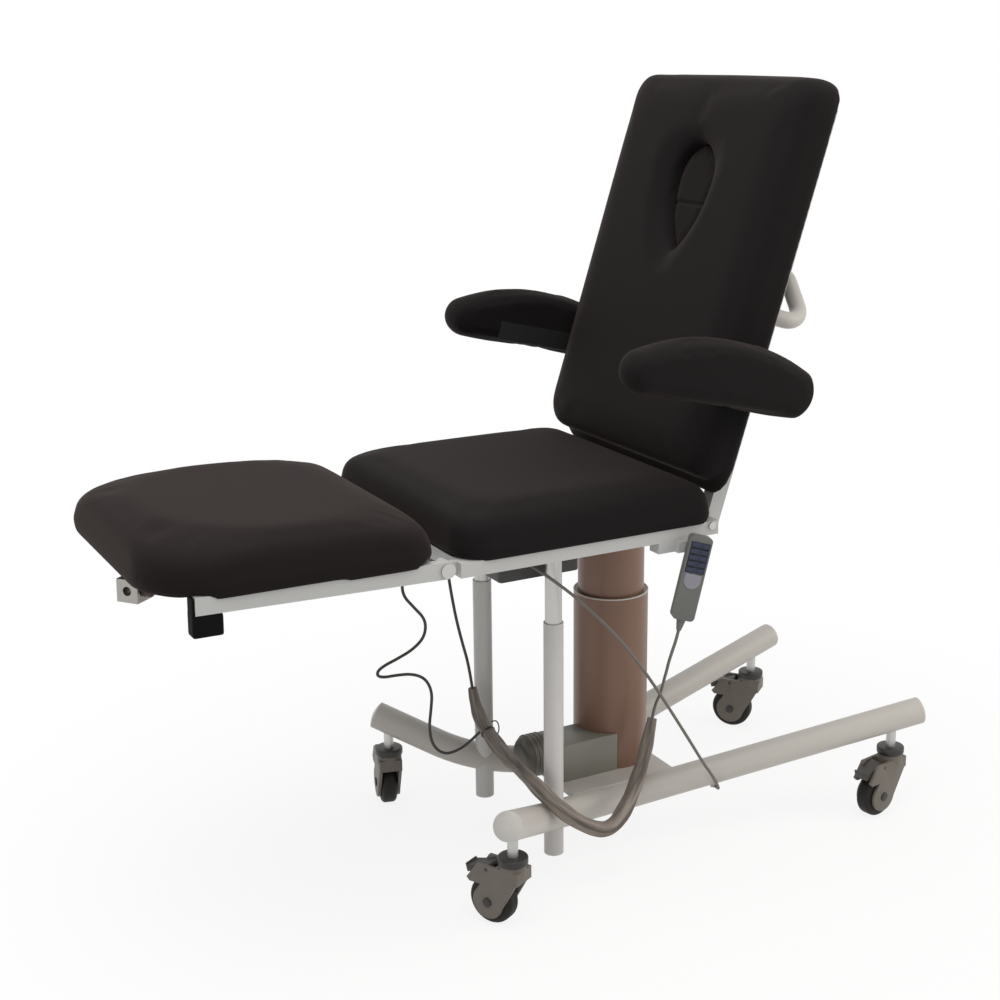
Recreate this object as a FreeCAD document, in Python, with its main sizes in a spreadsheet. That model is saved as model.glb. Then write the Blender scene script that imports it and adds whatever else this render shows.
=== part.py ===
import FreeCAD, Part
import math
import os
import re

import Sketcher
from FreeCAD import Placement, Rotation, Vector

# Treatment table with a lifting column, in millimetres and degrees.
# The origin is on the floor under the column's axis, +X points to the head end and +Z up.
# Left means the side at -Y.
SIZES = {
    # Bowed base tubes: each runs from a raised front end down to a low middle and up to its rear end
    "tube_radius": 28, "tube_wall": 3, "tube_bend": 330, "tube_front_x": -392, "tube_front_y": 290,
    "tube_front_z": 212, "tube_low_x": -164, "tube_low_y": 88, "tube_low_z": 93, "tube_rear_x": 601,
    "tube_rear_y": 260, "tube_rear_z": 214, "cap_rim": 3, "cap_dome": 7, "earth_stud_x": 152,
    "earth_stud_radius": 7, "earth_stud_drop": 9,
    # Foot plate and its cross tube
    "foot_top": 150, "foot_thickness": 12, "foot_front_x": -160, "foot_rear_x": 76, "foot_half": 125,
    "brace_x": 45, "brace_radius": 18, "brace_sink": 5,
    # Telescopic column and its drive
    "column_radius": 75, "column_wall": 4, "column_top": 512, "column_rim": 20, "inner_radius": 66.5,
    "inner_wall": 4, "flange_radius": 75, "flange_thickness": 8, "lift_down": 140, "running_gap": 0.06,
    "stop_gap": 6, "ram_radius": 30, "ram_wall": 5, "ram_top": 420, "ram_gland": 12, "push_rod_radius": 20,
    "gearbox_front_x": -156, "gearbox_rear_x": -20, "gearbox_near_y": -72, "gearbox_far_y": 14,
    "gearbox_height": 78, "gearbox_corner": 10, "gearbox_seat_gap": 0.5, "motor_radius": 42,
    "motor_length": 60, "motor_edge": 20, "motor_axis_y": -10, "motor_gap": 2,
    # Guides beside the column
    "guide_x": -216, "guide_y": 146, "guide_radius": 19, "guide_rod_radius": 16, "guide_foot": 50,
    "guide_floor": 4, "guide_top": 524,
    # Casters, each in its own frame with the stem upright at the origin and the wheel along its own +X
    "stem_front_inset": 24, "stem_rear_inset": 60, "stem_radius": 10, "stem_depth": 33,
    "caster_height": 141, "wheel_radius": 46, "wheel_width": 32, "wheel_edge": 9, "trail": 42,
    "axle_radius": 6, "axle_head": 9, "axle_head_height": 2.5, "fork_gap": 1.5, "fork_plate": 6,
    "fork_disc": 32, "fork_hub": 26, "fork_front": 25, "hood_reach": 88, "hood_drop": 40, "hood_nose": 7,
    "deck_gap": 4, "deck_height": 12, "pedal_x": 44, "pedal_z": 112, "pedal_pin": 4, "pedal_barrel": 6.5,
    "pedal_length": 50, "pedal_thick": 13, "pedal_lip": 3, "pedal_angle": 15, "front_left_angle": 118,
    "rear_left_angle": 190, "front_right_angle": 75, "rear_right_angle": 128,
    # Hinge line and seat frame
    "hinge_height": 710, "leg_hinge_x": -499, "back_hinge_x": 41, "rail_outer": 285, "rail_width": 30,
    "rail_height": 26, "rail_rise": 8, "lug_radius": 15, "lug_gap": 1, "pin_radius": 6, "leg_pin_head": 13,
    "back_pin_head": 7.5, "pin_head_height": 4, "rail_setback": 25, "bar_width": 30, "front_bar_x": -455,
    "rear_bar_x": -45, "rear_bar_width": 60, "board_thickness": 12, "board_inset": 22, "soft_gap": 0.3,
    "seat_front_x": -476, "seat_rear_x": 46, "cushion_half": 295, "seat_thickness": 82,
    "seat_front_corner": 60, "seat_rear_corner": 28, "hinge_clearance": 3, "cushion_roll": 26,
    "cushion_tuck": 3, "seat_skirt": 7, "hook_x": -42, "hook_length": 66, "hook_height": 20,
    "hook_reach": 12,
    # Under the seat
    "box_front_x": -310, "box_rear_x": -140, "box_near_y": -112, "box_far_y": -35, "box_height": 88,
    "box_corner": 8, "crank_radius": 60, "crank_pin": 6, "cheek_thickness": 6, "cheek_gap": 6.5,
    "cheek_edge": 11, "yoke_width": 40, "yoke_height": 50, "yoke_thickness": 10, "slot_gap": 1.5,
    "slot_rise": 8.5, "actuator_radius": 25, "actuator_rod": 11, "hanger_width": 24, "gland_radius": 6,
    "gland_length": 8, "leg_rod_y": 0, "leg_rod_drop": 53, "leg_housing_front": -400,
    "leg_housing_rear": -150, "back_rod_y": 100, "back_rod_drop": 54, "back_housing_front": -330,
    "back_housing_rear": -90, "rod_engaged": 100, "housing_end": 30, "leg_crank_middle": 35.5,
    "leg_crank_slope": 0.938, "back_crank_middle": 37.5, "back_crank_slope": 0.9475,
    # Leg section, along its own -X from the hinge
    "leg_angle": 1.5, "leg_rail_length": 435, "leg_rail_height": 30, "leg_bar_one": 60, "leg_bar_inset": 35,
    "leg_start": 11, "leg_overhang": 73, "leg_thickness": 80, "leg_front_corner": 125,
    "leg_rear_corner": 52, "leg_skirt": 10, "bumper_length": 46, "bumper_drop": 38, "bumper_end": 5,
    "clamp_reach": 30, "clamp_y": -45, "clamp_z": -34, "clamp_size": 40, "clamp_bore": 8, "clamp_arm": 18,
    "knob_radius": 12, "knob_length": 16, "knob_screw": 4, "clamp_turn": 40,
    # Back section, along its own +X from the hinge
    "back_angle": 72, "back_rail_outer": 245, "back_rail_drop": 15, "back_rail_height": 30,
    "back_rail_end": 790, "torsion_radius": 15, "back_bar_one": 330, "back_bar_two": 740, "back_start": 72,
    "back_end": 832, "back_thickness": 92, "back_low_corner": 50, "back_high_corner": 42, "push_start": 400,
    "push_top": 484, "push_back": 68, "push_half": 150, "push_radius": 16, "push_bend": 42,
    "push_spread": 10, "face_low": 474, "face_high": 691, "face_half": 66, "face_gap": 0.5, "face_dent": 30,
    "dent_depth": 15, "plug_thickness": 62, "plug_edge": 15,
    # Armrests, in their own frames with the pivot at the origin and the pad along -X
    "arm_pivot_along": 254, "arm_pivot_drop": 28, "arm_angle": 13.5, "arm_pin": 10, "arm_plate_gap": 5,
    "arm_plate": 5, "arm_plate_length": 240, "arm_plate_height": 36, "arm_width": 68, "arm_front": 345,
    "arm_front_high": 45, "arm_front_back": 14, "arm_front_nose": 5, "arm_toe": 33, "arm_rear": 57,
    "arm_rear_high": 60, "arm_rear_back": 14, "arm_rear_nose": 12, "arm_heel": 24, "arm_bottom": 27,
    "arm_crown_x": 105, "arm_crown": 92, "arm_soft": 12,
    # Handset, in its own frame with Z along its length and its face at -Y
    "handset_x": -19, "handset_drop": 82, "handset_angle": 15, "handset_turn": 25, "handset_width": 42,
    "handset_length": 158, "handset_depth": 26, "handset_corner": 8, "key_count": 5, "key_pitch": 11.6,
    "key_top": 62, "key_width": 34, "key_height": 9.6, "key_plate": 3, "key_lift": 1.7, "key_gap": 0.7,
    "key_ridge": 1.5, "pad_width": 12, "pad_inset": 1, "pad_rise": 2.2, "pocket_depth": 5,
    "relief_length": 22, "relief_wide": 9, "relief_thin": 4.5,
    # Cords
    "lead_diameter": 6, "sleeve_diameter": 30, "leg_exit": 17, "back_exit": 23, "handset_exit": 18,
    "drawn_height": 710, "still_height": 320,
}
SIDES = {"left": -1, "right": 1}
DIAGONAL = math.sqrt(0.5)
AXES = {"x": Rotation(Vector(0, 1, 0), 90), "y": Rotation(Vector(1, 0, 0), -90), "z": Rotation()}

doc = FreeCAD.newDocument("treatment_table")
sheet = doc.addObject("Spreadsheet::Sheet", "Sizes")
for row, (name, value) in enumerate(SIZES.items(), start=1):
    sheet.set(f"A{row}", str(value))
    sheet.setAlias(f"A{row}", name)
doc.recompute()
dim = {name: float(sheet.get(name)) for name in SIZES}
subparts = []


def formula(text):
    """Return an expression whose size names point at the sheet."""
    return re.sub(r"[a-z_]+", lambda found: "Sizes." + found[0] if found[0] in SIZES else found[0], text)


def bind(obj, **texts):
    """Tie properties to the sheet; two underscores in a key stand for a dot."""
    for key, text in texts.items():
        obj.setExpression(key.replace("__", "."), formula(text))
    return obj


def put(obj, x="0", y="0", z="0"):
    return bind(obj, Placement__Base__x=x, Placement__Base__y=y, Placement__Base__z=z)


def bar(name, x, y, z):
    """A box between two expressions on each axis."""
    obj = doc.addObject("Part::Box", name)
    bind(obj, Length=f"({x[1]}) - ({x[0]})", Width=f"({y[1]}) - ({y[0]})", Height=f"({z[1]}) - ({z[0]})")
    return put(obj, x[0], y[0], z[0])


def rod(name, axis, radius, length, x="0", y="0", z="0"):
    """A cylinder that starts at a point and runs along +X, +Y or +Z."""
    obj = doc.addObject("Part::Cylinder", name)
    obj.Placement = Placement(Vector(), AXES[axis])
    bind(obj, Radius=radius, Height=length)
    return put(obj, x, y, z)


def fuse(name, shapes):
    obj = doc.addObject("Part::MultiFuse", name)
    obj.Shapes = shapes
    return obj


def cut(name, base, tools):
    obj = doc.addObject("Part::Cut", name)
    obj.Base = base
    obj.Tool = tools[0] if len(tools) == 1 else fuse(name + "_tools", tools)
    return obj


def feature(name, shape):
    obj = doc.addObject("Part::Feature", name)
    obj.Shape = shape
    return obj


def group(name, objects):
    """Separate solids that share one node."""
    obj = doc.addObject("Part::Compound", name)
    obj.Links = objects
    return obj


def subpart(obj, label):
    obj.Label = label
    subparts.append(obj)
    return obj


def lean(obj, angle, x, z, y="0"):
    """Turn a piece about +Y and carry it to its pivot."""
    obj.Placement = Placement(Vector(), Rotation(Vector(0, 1, 0), 1))
    bind(obj, Placement__Rotation__Angle=angle)
    return put(obj, x, y, z)


def on_leg(obj):
    return lean(obj, "leg_angle", "leg_hinge_x", "hinge_height")


def on_back(obj):
    return lean(obj, "-back_angle", "back_hinge_x", "hinge_height")


def spans(side, inner, outer):
    """The low and high Y of a piece that lies between two distances from the middle."""
    return (f"-({outer})", f"-({inner})") if side == "left" else (inner, outer)


def block(name, plane, width, height, depth, corner):
    """A body: a centred rectangle on an origin plane, padded, with its standing edges rounded."""
    body = doc.addObject("PartDesign::Body", name)
    sketch = body.newObject("Sketcher::SketchObject", name + "_outline")
    origin = next(item for item in body.Origin.OriginFeatures if item.Role == plane)
    sketch.AttachmentSupport = [(origin, "")]
    sketch.MapMode = "FlatFace"
    corners = [Vector(-1, -1, 0), Vector(1, -1, 0), Vector(1, 1, 0), Vector(-1, 1, 0)]
    sketch.addGeometry([Part.LineSegment(corners[i], corners[(i + 1) % 4]) for i in range(4)])
    for i in range(4):
        sketch.addConstraint(Sketcher.Constraint("Coincident", i, 2, (i + 1) % 4, 1))
        sketch.addConstraint(Sketcher.Constraint("Vertical" if i % 2 else "Horizontal", i))
    sketch.addConstraint(Sketcher.Constraint("Symmetric", 0, 1, 1, 2, -1, 1))
    wide = sketch.addConstraint(Sketcher.Constraint("DistanceX", 0, 1, 0, 2, corners[1].x - corners[0].x))
    sketch.setExpression(f"Constraints[{wide}]", formula(width))
    high = sketch.addConstraint(Sketcher.Constraint("DistanceY", 1, 1, 1, 2, corners[2].y - corners[1].y))
    sketch.setExpression(f"Constraints[{high}]", formula(height))
    pad = body.newObject("PartDesign::Pad", name + "_pad")
    pad.Profile = sketch
    bind(pad, Length=depth)
    doc.recompute()
    normal = pad.Shape.Faces[-1].normalAt(0, 0)
    standing = [f"Edge{i}" for i, edge in enumerate(pad.Shape.Edges, start=1)
                if abs(edge.tangentAt(edge.FirstParameter).dot(normal)) > DIAGONAL]
    rounding = body.newObject("PartDesign::Fillet", name + "_corners")
    rounding.Base = (pad, standing)
    bind(rounding, Radius=corner)
    return body


def rounded_wire(points, radii):
    """Straight runs joined by tangent arcs, one radius for each inner point."""
    edges = []
    start = points[0]
    for before, point, after, radius in zip(points, points[1:], points[2:], radii):
        arriving = (point - before).normalize()
        leaving = (after - point).normalize()
        half_turn = arriving.getAngle(leaving) / 2
        reach = radius * math.tan(half_turn)
        bisector = (leaving - arriving).normalize()
        middle = point + bisector * (radius / math.cos(half_turn) - radius)
        first = point - arriving * reach
        last = point + leaving * reach
        edges.append(Part.LineSegment(start, first).toShape())
        edges.append(Part.Arc(first, middle, last).toShape())
        start = last
    edges.append(Part.LineSegment(start, points[-1]).toShape())
    return Part.Wire(edges)


def pipe(wire, radius):
    first = wire.Edges[0]
    ring = Part.Circle(first.valueAt(first.FirstParameter), first.tangentAt(first.FirstParameter), radius)
    return wire.makePipeShell([Part.Wire([ring.toShape()])], True, False)


def turned(points, arcs=()):
    """Revolve a closed outline in the XZ plane about Z; arcs maps an edge's index to its middle point."""
    corners = [Vector(x, 0, z) for x, z in points]
    edges = []
    for i, corner in enumerate(corners):
        after = corners[(i + 1) % len(corners)]
        if i in arcs:
            edges.append(Part.Arc(corner, Vector(arcs[i][0], 0, arcs[i][1]), after).toShape())
        else:
            edges.append(Part.LineSegment(corner, after).toShape())
    return Part.Face(Part.Wire(edges)).revolve(Vector(), Vector(0, 0, 1), 360)


# Base tubes
def tube_points(side):
    return [Vector(dim[f"tube_{place}_x"], side * dim[f"tube_{place}_y"], dim[f"tube_{place}_z"])
            for place in ("front", "low", "rear")]


def tube_solid(side, radius):
    return pipe(rounded_wire(tube_points(side), [dim["tube_bend"]]), radius)


def tube_at(side, end, inset):
    """The point on a tube's axis at a distance from its front or rear end."""
    front, low, rear = tube_points(side)
    tip = front if end == "front" else rear
    return tip + (low - tip).normalize() * inset


tube_outside = {side: tube_solid(sign, dim["tube_radius"]) for side, sign in SIDES.items()}
guide_holes = {side: Part.makeCylinder(dim["guide_radius"], dim["guide_top"], Vector(
    dim["guide_x"], sign * dim["guide_y"], 0)) for side, sign in SIDES.items()}


def earth_stud():
    front, low, rear = tube_points(SIDES["left"])
    top = low + (rear - low) * ((dim["earth_stud_x"] - low.x) / (rear.x - low.x))
    drop = dim["tube_radius"] + dim["earth_stud_drop"]
    return Part.makeCylinder(dim["earth_stud_radius"], drop, top - Vector(0, 0, drop))


for side, sign in SIDES.items():
    solid = tube_outside[side]
    if side == "left":
        solid = solid.fuse(earth_stud())
    solid = solid.cut(tube_solid(sign, dim["tube_radius"] - dim["tube_wall"])).cut(guide_holes[side])
    subpart(feature(f"tube_{side}", solid), f"base_tube_{side}")


def end_cap(side, end):
    front, low, rear = tube_points(side)
    tip = front if end == "front" else rear
    radius, rim, top = dim["tube_radius"], dim["cap_rim"], dim["cap_rim"] + dim["cap_dome"]
    sphere = (radius ** 2 + dim["cap_dome"] ** 2) / (2 * dim["cap_dome"])
    half = math.asin(radius / sphere) / 2
    middle = (sphere * math.sin(half), top - sphere + sphere * math.cos(half))
    cap = turned([(0, 0), (radius, 0), (radius, rim), (0, top)], {2: middle})
    cap.Placement = Placement(tip, Rotation(Vector(0, 0, 1), tip - low))
    return cap


CORNERS = [(side, end) for side in SIDES for end in ("front", "rear")]
caps = [feature(f"cap_{end}_{side}", end_cap(SIDES[side], end)) for side, end in CORNERS]
subpart(group("caps", caps), "base_tube_end_caps")

# Foot plate welded between the tubes, with a cross tube under its rear edge
plate = bar("plate", ("foot_front_x", "foot_rear_x"), ("-foot_half", "foot_half"),
            ("foot_top - foot_thickness", "foot_top"))
brace = rod("brace", "y", "brace_radius", "2 * foot_half", x="brace_x", y="-foot_half",
            z="foot_top - foot_thickness - brace_radius + brace_sink")
tube_cores = [feature(f"tube_core_{side}", tube_outside[side]) for side in SIDES]
subpart(cut("foot", fuse("foot_weld", [plate, brace]), tube_cores), "column_foot_plate")

# Guide tubes and rods
INNER_FOOT = "foot_top + lift_down + stop_gap"
GUIDE_ROD_FOOT = "guide_foot + guide_floor + lift_down + stop_gap"
FRAME_LOW = "hinge_height + rail_rise - rail_height"
FRAME_TOP = "hinge_height + rail_rise"
tubes = []
rods = []
for side, sign in SIDES.items():
    there = {"x": "guide_x", "y": f"{sign} * guide_y"}
    outer = rod(f"guide_outer_{side}", "z", "guide_radius", "guide_top - guide_foot", z="guide_foot", **there)
    bore = rod(f"guide_bore_{side}", "z", "guide_rod_radius + running_gap", "guide_top - guide_foot",
               z="guide_foot + guide_floor", **there)
    tubes.append(cut(f"guide_tube_{side}", outer, [bore]))
    rods.append(rod(f"guide_rod_{side}", "z", "guide_rod_radius", f"{FRAME_LOW} - ({GUIDE_ROD_FOOT})",
                    z=GUIDE_ROD_FOOT, **there))
subpart(group("guides", tubes), "guide_tubes")
subpart(group("guide_pair", rods), "guide_rods")

# Telescopic column with the lifting ram inside it
outer = rod("column_outer", "z", "column_radius", "column_top - foot_top", z="foot_top")
bore = rod("column_bore", "z", "column_radius - column_wall", "column_top - column_rim - foot_top",
           z="foot_top")
mouth = rod("column_mouth", "z", "inner_radius + running_gap", "column_top - foot_top", z="foot_top")
subpart(cut("column_lower", outer, [bore, mouth]), "column_outer_tube")
FLANGE_LOW = f"{FRAME_LOW} - flange_thickness"
inner = rod("column_inner", "z", "inner_radius", f"{FRAME_LOW} - ({INNER_FOOT})", z=INNER_FOOT)
flange = rod("column_flange", "z", "flange_radius", "flange_thickness", z=FLANGE_LOW)
hollow = rod("column_hollow", "z", "inner_radius - inner_wall", f"{FLANGE_LOW} - ({INNER_FOOT})",
             z=INNER_FOOT)
subpart(cut("column_upper", fuse("column_upper_weld", [inner, flange]), [hollow]), "column_inner_tube")
ram = rod("ram_outer", "z", "ram_radius", "ram_top - foot_top", z="foot_top")
ram_bore = rod("ram_bore", "z", "ram_radius - ram_wall", "ram_top - ram_gland - foot_top - guide_floor",
               z="foot_top + guide_floor")
ram_mouth = rod("ram_mouth", "z", "push_rod_radius + running_gap", "ram_top - foot_top",
                z="foot_top + guide_floor")
subpart(cut("ram", ram, [ram_bore, ram_mouth]), "lift_actuator_tube")
ROD_FOOT = "foot_top + guide_floor + lift_down + stop_gap"
subpart(rod("push_rod", "z", "push_rod_radius", f"{FLANGE_LOW} - ({ROD_FOOT})", z=ROD_FOOT), "lift_push_rod")

# Gearbox beside the column, with the motor on its front
housing = block("gearbox_block", "XY_Plane", "gearbox_rear_x - gearbox_front_x",
                "gearbox_far_y - gearbox_near_y", "gearbox_height", "gearbox_corner")
put(housing, "(gearbox_rear_x + gearbox_front_x) / 2", "(gearbox_far_y + gearbox_near_y) / 2", "foot_top")
seat_hole = rod("gearbox_seat", "z", "column_radius + gearbox_seat_gap", "gearbox_height", z="foot_top")
subpart(cut("gearbox", housing, [seat_hole]), "lift_gearbox")


def motor_shape():
    radius, length, edge = dim["motor_radius"], dim["motor_length"], dim["motor_edge"]
    slant = edge * (1 - DIAGONAL)
    shape = turned([(0, 0), (radius, 0), (radius, length - edge), (radius - edge, length), (0, length)],
                   {2: (radius - slant, length - slant)})
    axis_height = dim["foot_top"] + dim["motor_gap"] + radius
    shape.Placement = Placement(Vector(dim["gearbox_front_x"], dim["motor_axis_y"], axis_height),
                                Rotation(Vector(0, 0, 1), Vector(-1, 0, 0)))
    return shape


subpart(feature("motor", motor_shape()), "lift_motor")

# Caster stems stand under the tubes, each cut to the tube's underside
stems = []
for side, end in CORNERS:
    top = tube_at(SIDES[side], end, dim[f"stem_{end}_inset"])
    foot = dim["caster_height"] - dim["stem_depth"]
    stem = Part.makeCylinder(dim["stem_radius"], top.z - foot, Vector(top.x, top.y, foot))
    stems.append(feature(f"stem_{end}_{side}", stem.cut(tube_outside[side])))
subpart(group("stems", stems), "caster_stems")

FORK_IN = "wheel_width / 2 + fork_gap"
FORK_OUT = "wheel_width / 2 + fork_gap + fork_plate"


def fork_web():
    """The side plates' outline: down from the hub, round the axle and out to a hood over the tyre."""
    trail, axle, disc = dim["trail"], dim["wheel_radius"], dim["fork_disc"]
    high = dim["caster_height"] - dim["stem_depth"] + dim["deck_height"]
    under, reach, nose = high - dim["hood_drop"], dim["hood_reach"], dim["hood_nose"]
    leaning = DIAGONAL * disc
    shape = [(-dim["fork_front"], high), (-dim["fork_front"], high - disc / 2),
             (trail - leaning, axle - leaning), (trail + leaning, axle + leaning), (trail + leaning - nose, under),
             (reach - nose, under), (reach, under + nose), (reach - nose, under + disc / 2),
             (trail + leaning, high), (dim["fork_hub"], high)]
    inside = dim["wheel_width"] / 2 + dim["fork_gap"]
    webs = []
    for y in (-inside - dim["fork_plate"], inside):
        face = Part.Face(Part.makePolygon([Vector(x, y, z) for x, z in shape + shape[:1]]))
        webs.append(face.extrude(Vector(0, dim["fork_plate"], 0)))
    return webs[0].fuse(webs[1])


def at_stem(obj, side, end):
    """Stand a caster piece under its stem, turned to its trailing direction."""
    top = tube_at(SIDES[side], end, dim[f"stem_{end}_inset"])
    obj.Placement = Placement(Vector(top.x, top.y, 0), Rotation(Vector(0, 0, 1), dim[f"{end}_{side}_angle"]))
    return obj


def caster(side, end):
    tag = f"{end}_{side}"
    hub = rod(f"hub_{tag}", "z", "fork_hub", "stem_depth", z="caster_height - stem_depth")
    deck = bar(f"deck_{tag}", ("-fork_front", "fork_hub"), (f"-({FORK_OUT})", FORK_OUT),
               ("2 * wheel_radius + deck_gap", "caster_height - stem_depth + deck_height"))
    discs = [rod(f"disc_{tag}_{i}", "y", "fork_disc", "fork_plate", x="trail", y=low, z="wheel_radius")
             for i, low in enumerate((f"-({FORK_OUT})", FORK_IN))]
    web = feature(f"web_{tag}", fork_web())
    stem_hole = rod(f"stem_hole_{tag}", "z", "stem_radius + running_gap", "stem_depth",
                    z="caster_height - stem_depth")
    axle_hole = rod(f"axle_hole_{tag}", "y", "axle_radius", f"2 * ({FORK_OUT})", x="trail",
                    y=f"-({FORK_OUT})", z="wheel_radius")
    pedal_hole = rod(f"pedal_hole_{tag}", "y", "pedal_pin + running_gap", f"2 * ({FORK_OUT})", x="pedal_x",
                     y=f"-({FORK_OUT})", z="pedal_z")
    body = cut(f"fork_body_{tag}", fuse(f"fork_weld_{tag}", [hub, deck, web] + discs),
               [stem_hole, axle_hole, pedal_hole])
    shank = rod(f"shank_{tag}", "y", "axle_radius", f"2 * ({FORK_OUT})", x="trail", y=f"-({FORK_OUT})",
                z="wheel_radius")
    heads = [rod(f"axle_head_{tag}_{i}", "y", "axle_head", "axle_head_height", x="trail", y=low,
                 z="wheel_radius")
             for i, low in enumerate((f"-({FORK_OUT}) - axle_head_height", FORK_OUT))]
    axle = fuse(f"axle_{tag}", [shank] + heads)
    subpart(at_stem(group(f"fork_{tag}", [body, axle]), side, end), f"caster_{tag}_fork")

    radius, half, edge = dim["wheel_radius"], dim["wheel_width"] / 2, dim["wheel_edge"]
    bore, slant = dim["axle_radius"] + dim["running_gap"], dim["wheel_edge"] * (1 - DIAGONAL)
    wheel = turned([(bore, -half), (radius - edge, -half), (radius, edge - half), (radius, half - edge),
                    (radius - edge, half), (bore, half)],
                   {1: (radius - slant, slant - half), 3: (radius - slant, half - slant)})
    wheel.Placement = Placement(Vector(dim["trail"], 0, radius), AXES["y"])
    subpart(at_stem(group(f"wheel_{tag}", [feature(f"tyre_{tag}", wheel)]), side, end), f"caster_{tag}_wheel")

    barrel = rod(f"barrel_{tag}", "y", "pedal_barrel", f"2 * ({FORK_IN} - fork_gap / 2)",
                 y=f"-({FORK_IN} - fork_gap / 2)")
    trunnion = rod(f"trunnion_{tag}", "y", "pedal_pin", f"2 * ({FORK_OUT})", y=f"-({FORK_OUT})")
    lever = bar(f"lever_{tag}", ("0", "pedal_length"), (f"-({FORK_IN} - fork_gap)", f"{FORK_IN} - fork_gap"),
                ("-pedal_thick / 2", "pedal_thick / 2"))
    lip = bar(f"lip_{tag}", ("pedal_length - pedal_lip", "pedal_length"),
              (f"-({FORK_IN} - fork_gap)", f"{FORK_IN} - fork_gap"), ("0", "pedal_thick / 2 + pedal_lip"))
    treadle = fuse(f"treadle_{tag}", [barrel, trunnion, lever, lip])
    lean(treadle, "pedal_angle", "pedal_x", "pedal_z")
    subpart(at_stem(group(f"pedal_{tag}", [treadle]), side, end), f"caster_{tag}_brake_pedal")


for side, end in CORNERS:
    caster(side, end)

# Seat frame: side rails with hinge lugs, cross bars and the handset's bracket
RAIL_IN = "rail_outer - rail_width"
LUG_IN = "rail_width / 2 - lug_gap / 2"
welded = []
drilled = []
for side, sign in SIDES.items():
    welded.append(bar(f"seat_rail_{side}", ("leg_hinge_x + rail_setback", "back_hinge_x + lug_radius"),
                      spans(side, RAIL_IN, "rail_outer"), (FRAME_LOW, FRAME_TOP)))
    lug = spans(side, RAIL_IN, f"{RAIL_IN} + {LUG_IN}")
    welded.append(bar(f"seat_lug_{side}", ("leg_hinge_x", "leg_hinge_x + rail_setback"), lug,
                      ("hinge_height - lug_radius", "hinge_height + rail_rise")))
    welded.append(rod(f"seat_eye_{side}", "y", "lug_radius", LUG_IN, x="leg_hinge_x", y=lug[0],
                      z="hinge_height"))
    for place in ("leg", "back"):
        drilled.append(rod(f"seat_{place}_bore_{side}", "y", "pin_radius", "rail_width", x=f"{place}_hinge_x",
                           y=spans(side, RAIL_IN, "rail_outer")[0], z="hinge_height"))
ACROSS = (f"-({RAIL_IN})", RAIL_IN)
for name, middle, width in (("front", "front_bar_x", "bar_width"), ("guide", "guide_x", "bar_width"),
                            ("rear", "rear_bar_x", "rear_bar_width")):
    welded.append(bar(f"seat_bar_{name}", (f"{middle} - {width} / 2", f"{middle} + {width} / 2"), ACROSS,
                      (FRAME_LOW, FRAME_TOP)))
HOOK = ("hook_x - hook_length / 2", "hook_x + hook_length / 2")
welded.append(bar("hook_block", HOOK, ("-rail_outer", f"-({RAIL_IN})"),
                  (f"{FRAME_LOW} - hook_height", FRAME_LOW)))
welded.append(bar("hook_plate", ("handset_x - handset_width / 2", "hook_x + hook_length / 2"),
                  ("-rail_outer - hook_reach", "-rail_outer"), (f"{FRAME_LOW} - hook_height", FRAME_LOW)))
subpart(cut("seat_weld", fuse("seat_bars", welded), drilled), "seat_frame")

pins = []
for side, sign in SIDES.items():
    for place, inner in (("leg", RAIL_IN), ("back", "back_rail_outer - rail_width")):
        y = spans(side, inner, "rail_outer")
        head = spans(side, "rail_outer", "rail_outer + pin_head_height")
        there = {"x": f"{place}_hinge_x", "z": "hinge_height"}
        shank = rod(f"pin_{place}_{side}", "y", "pin_radius", f"rail_outer - ({inner})", y=y[0], **there)
        boss = rod(f"pin_head_{place}_{side}", "y", f"{place}_pin_head", "pin_head_height", y=head[0],
                   **there)
        pins.append(fuse(f"hinge_pin_{place}_{side}", [shank, boss]))
subpart(group("pins", pins), "hinge_pins")


def outline(low, high, half, low_corner, high_corner, level):
    """A rectangle along X with one corner radius at each end."""
    keep = 1 - DIAGONAL
    runs = [((low + low_corner, -half), (high - high_corner, -half)),
            ((high, high_corner - half), (high, half - high_corner)),
            ((high - high_corner, half), (low + low_corner, half)),
            ((low, half - low_corner), (low, low_corner - half))]
    middles = [(high - keep * high_corner, keep * high_corner - half),
               (high - keep * high_corner, half - keep * high_corner),
               (low + keep * low_corner, half - keep * low_corner),
               (low + keep * low_corner, keep * low_corner - half)]
    edges = []
    for i, (first, last) in enumerate(runs):
        after = runs[(i + 1) % len(runs)][0]
        edges.append(Part.LineSegment(Vector(*first, level), Vector(*last, level)).toShape())
        through = [Vector(*place, level) for place in (last, middles[i], after)]
        edges.append(Part.Arc(*through).toShape())
    return Part.Wire(edges)


# Cushions: stacked outlines, each a share of the thickness up and drawn in by a distance. The sides swell to
# a belly, roll over a quarter ellipse and rise in a shallow crown. The board sits in a recess underneath, and
# the cover hangs a little way down outside the rails.
BELLY = ((0.0, 1.0), (0.2, 0.27), (0.4, 0.0))
ROLL_RISE = 0.5
ROLL_ANGLES = (20, 40, 55, 68, 80)
CROWN_STEPS = 5
CROWN_ROUNDING = 0.4
LEG_ROUNDING = 3.0
CORNER_FIT = 0.95


def cushion_profile(thickness):
    """Pairs of height and inset from the underside to the flat top of the crown."""
    belly, roll = BELLY[-1][0] * thickness, ROLL_RISE * thickness
    pairs = [(share * thickness, drawn * dim["cushion_tuck"]) for share, drawn in BELLY]
    for angle in map(math.radians, ROLL_ANGLES):
        pairs.append((belly + roll * math.sin(angle), dim["cushion_roll"] * (1 - math.cos(angle))))
    edge_height, edge_inset = pairs[-1]
    slope = roll * math.cos(angle) / (dim["cushion_roll"] * math.sin(angle))
    rise = thickness - edge_height
    for step in range(1, CROWN_STEPS + 1):
        part = step / CROWN_STEPS
        pairs.append((edge_height + rise * part * (2 - part), edge_inset + 2 * rise / slope * part))
    return pairs


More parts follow.
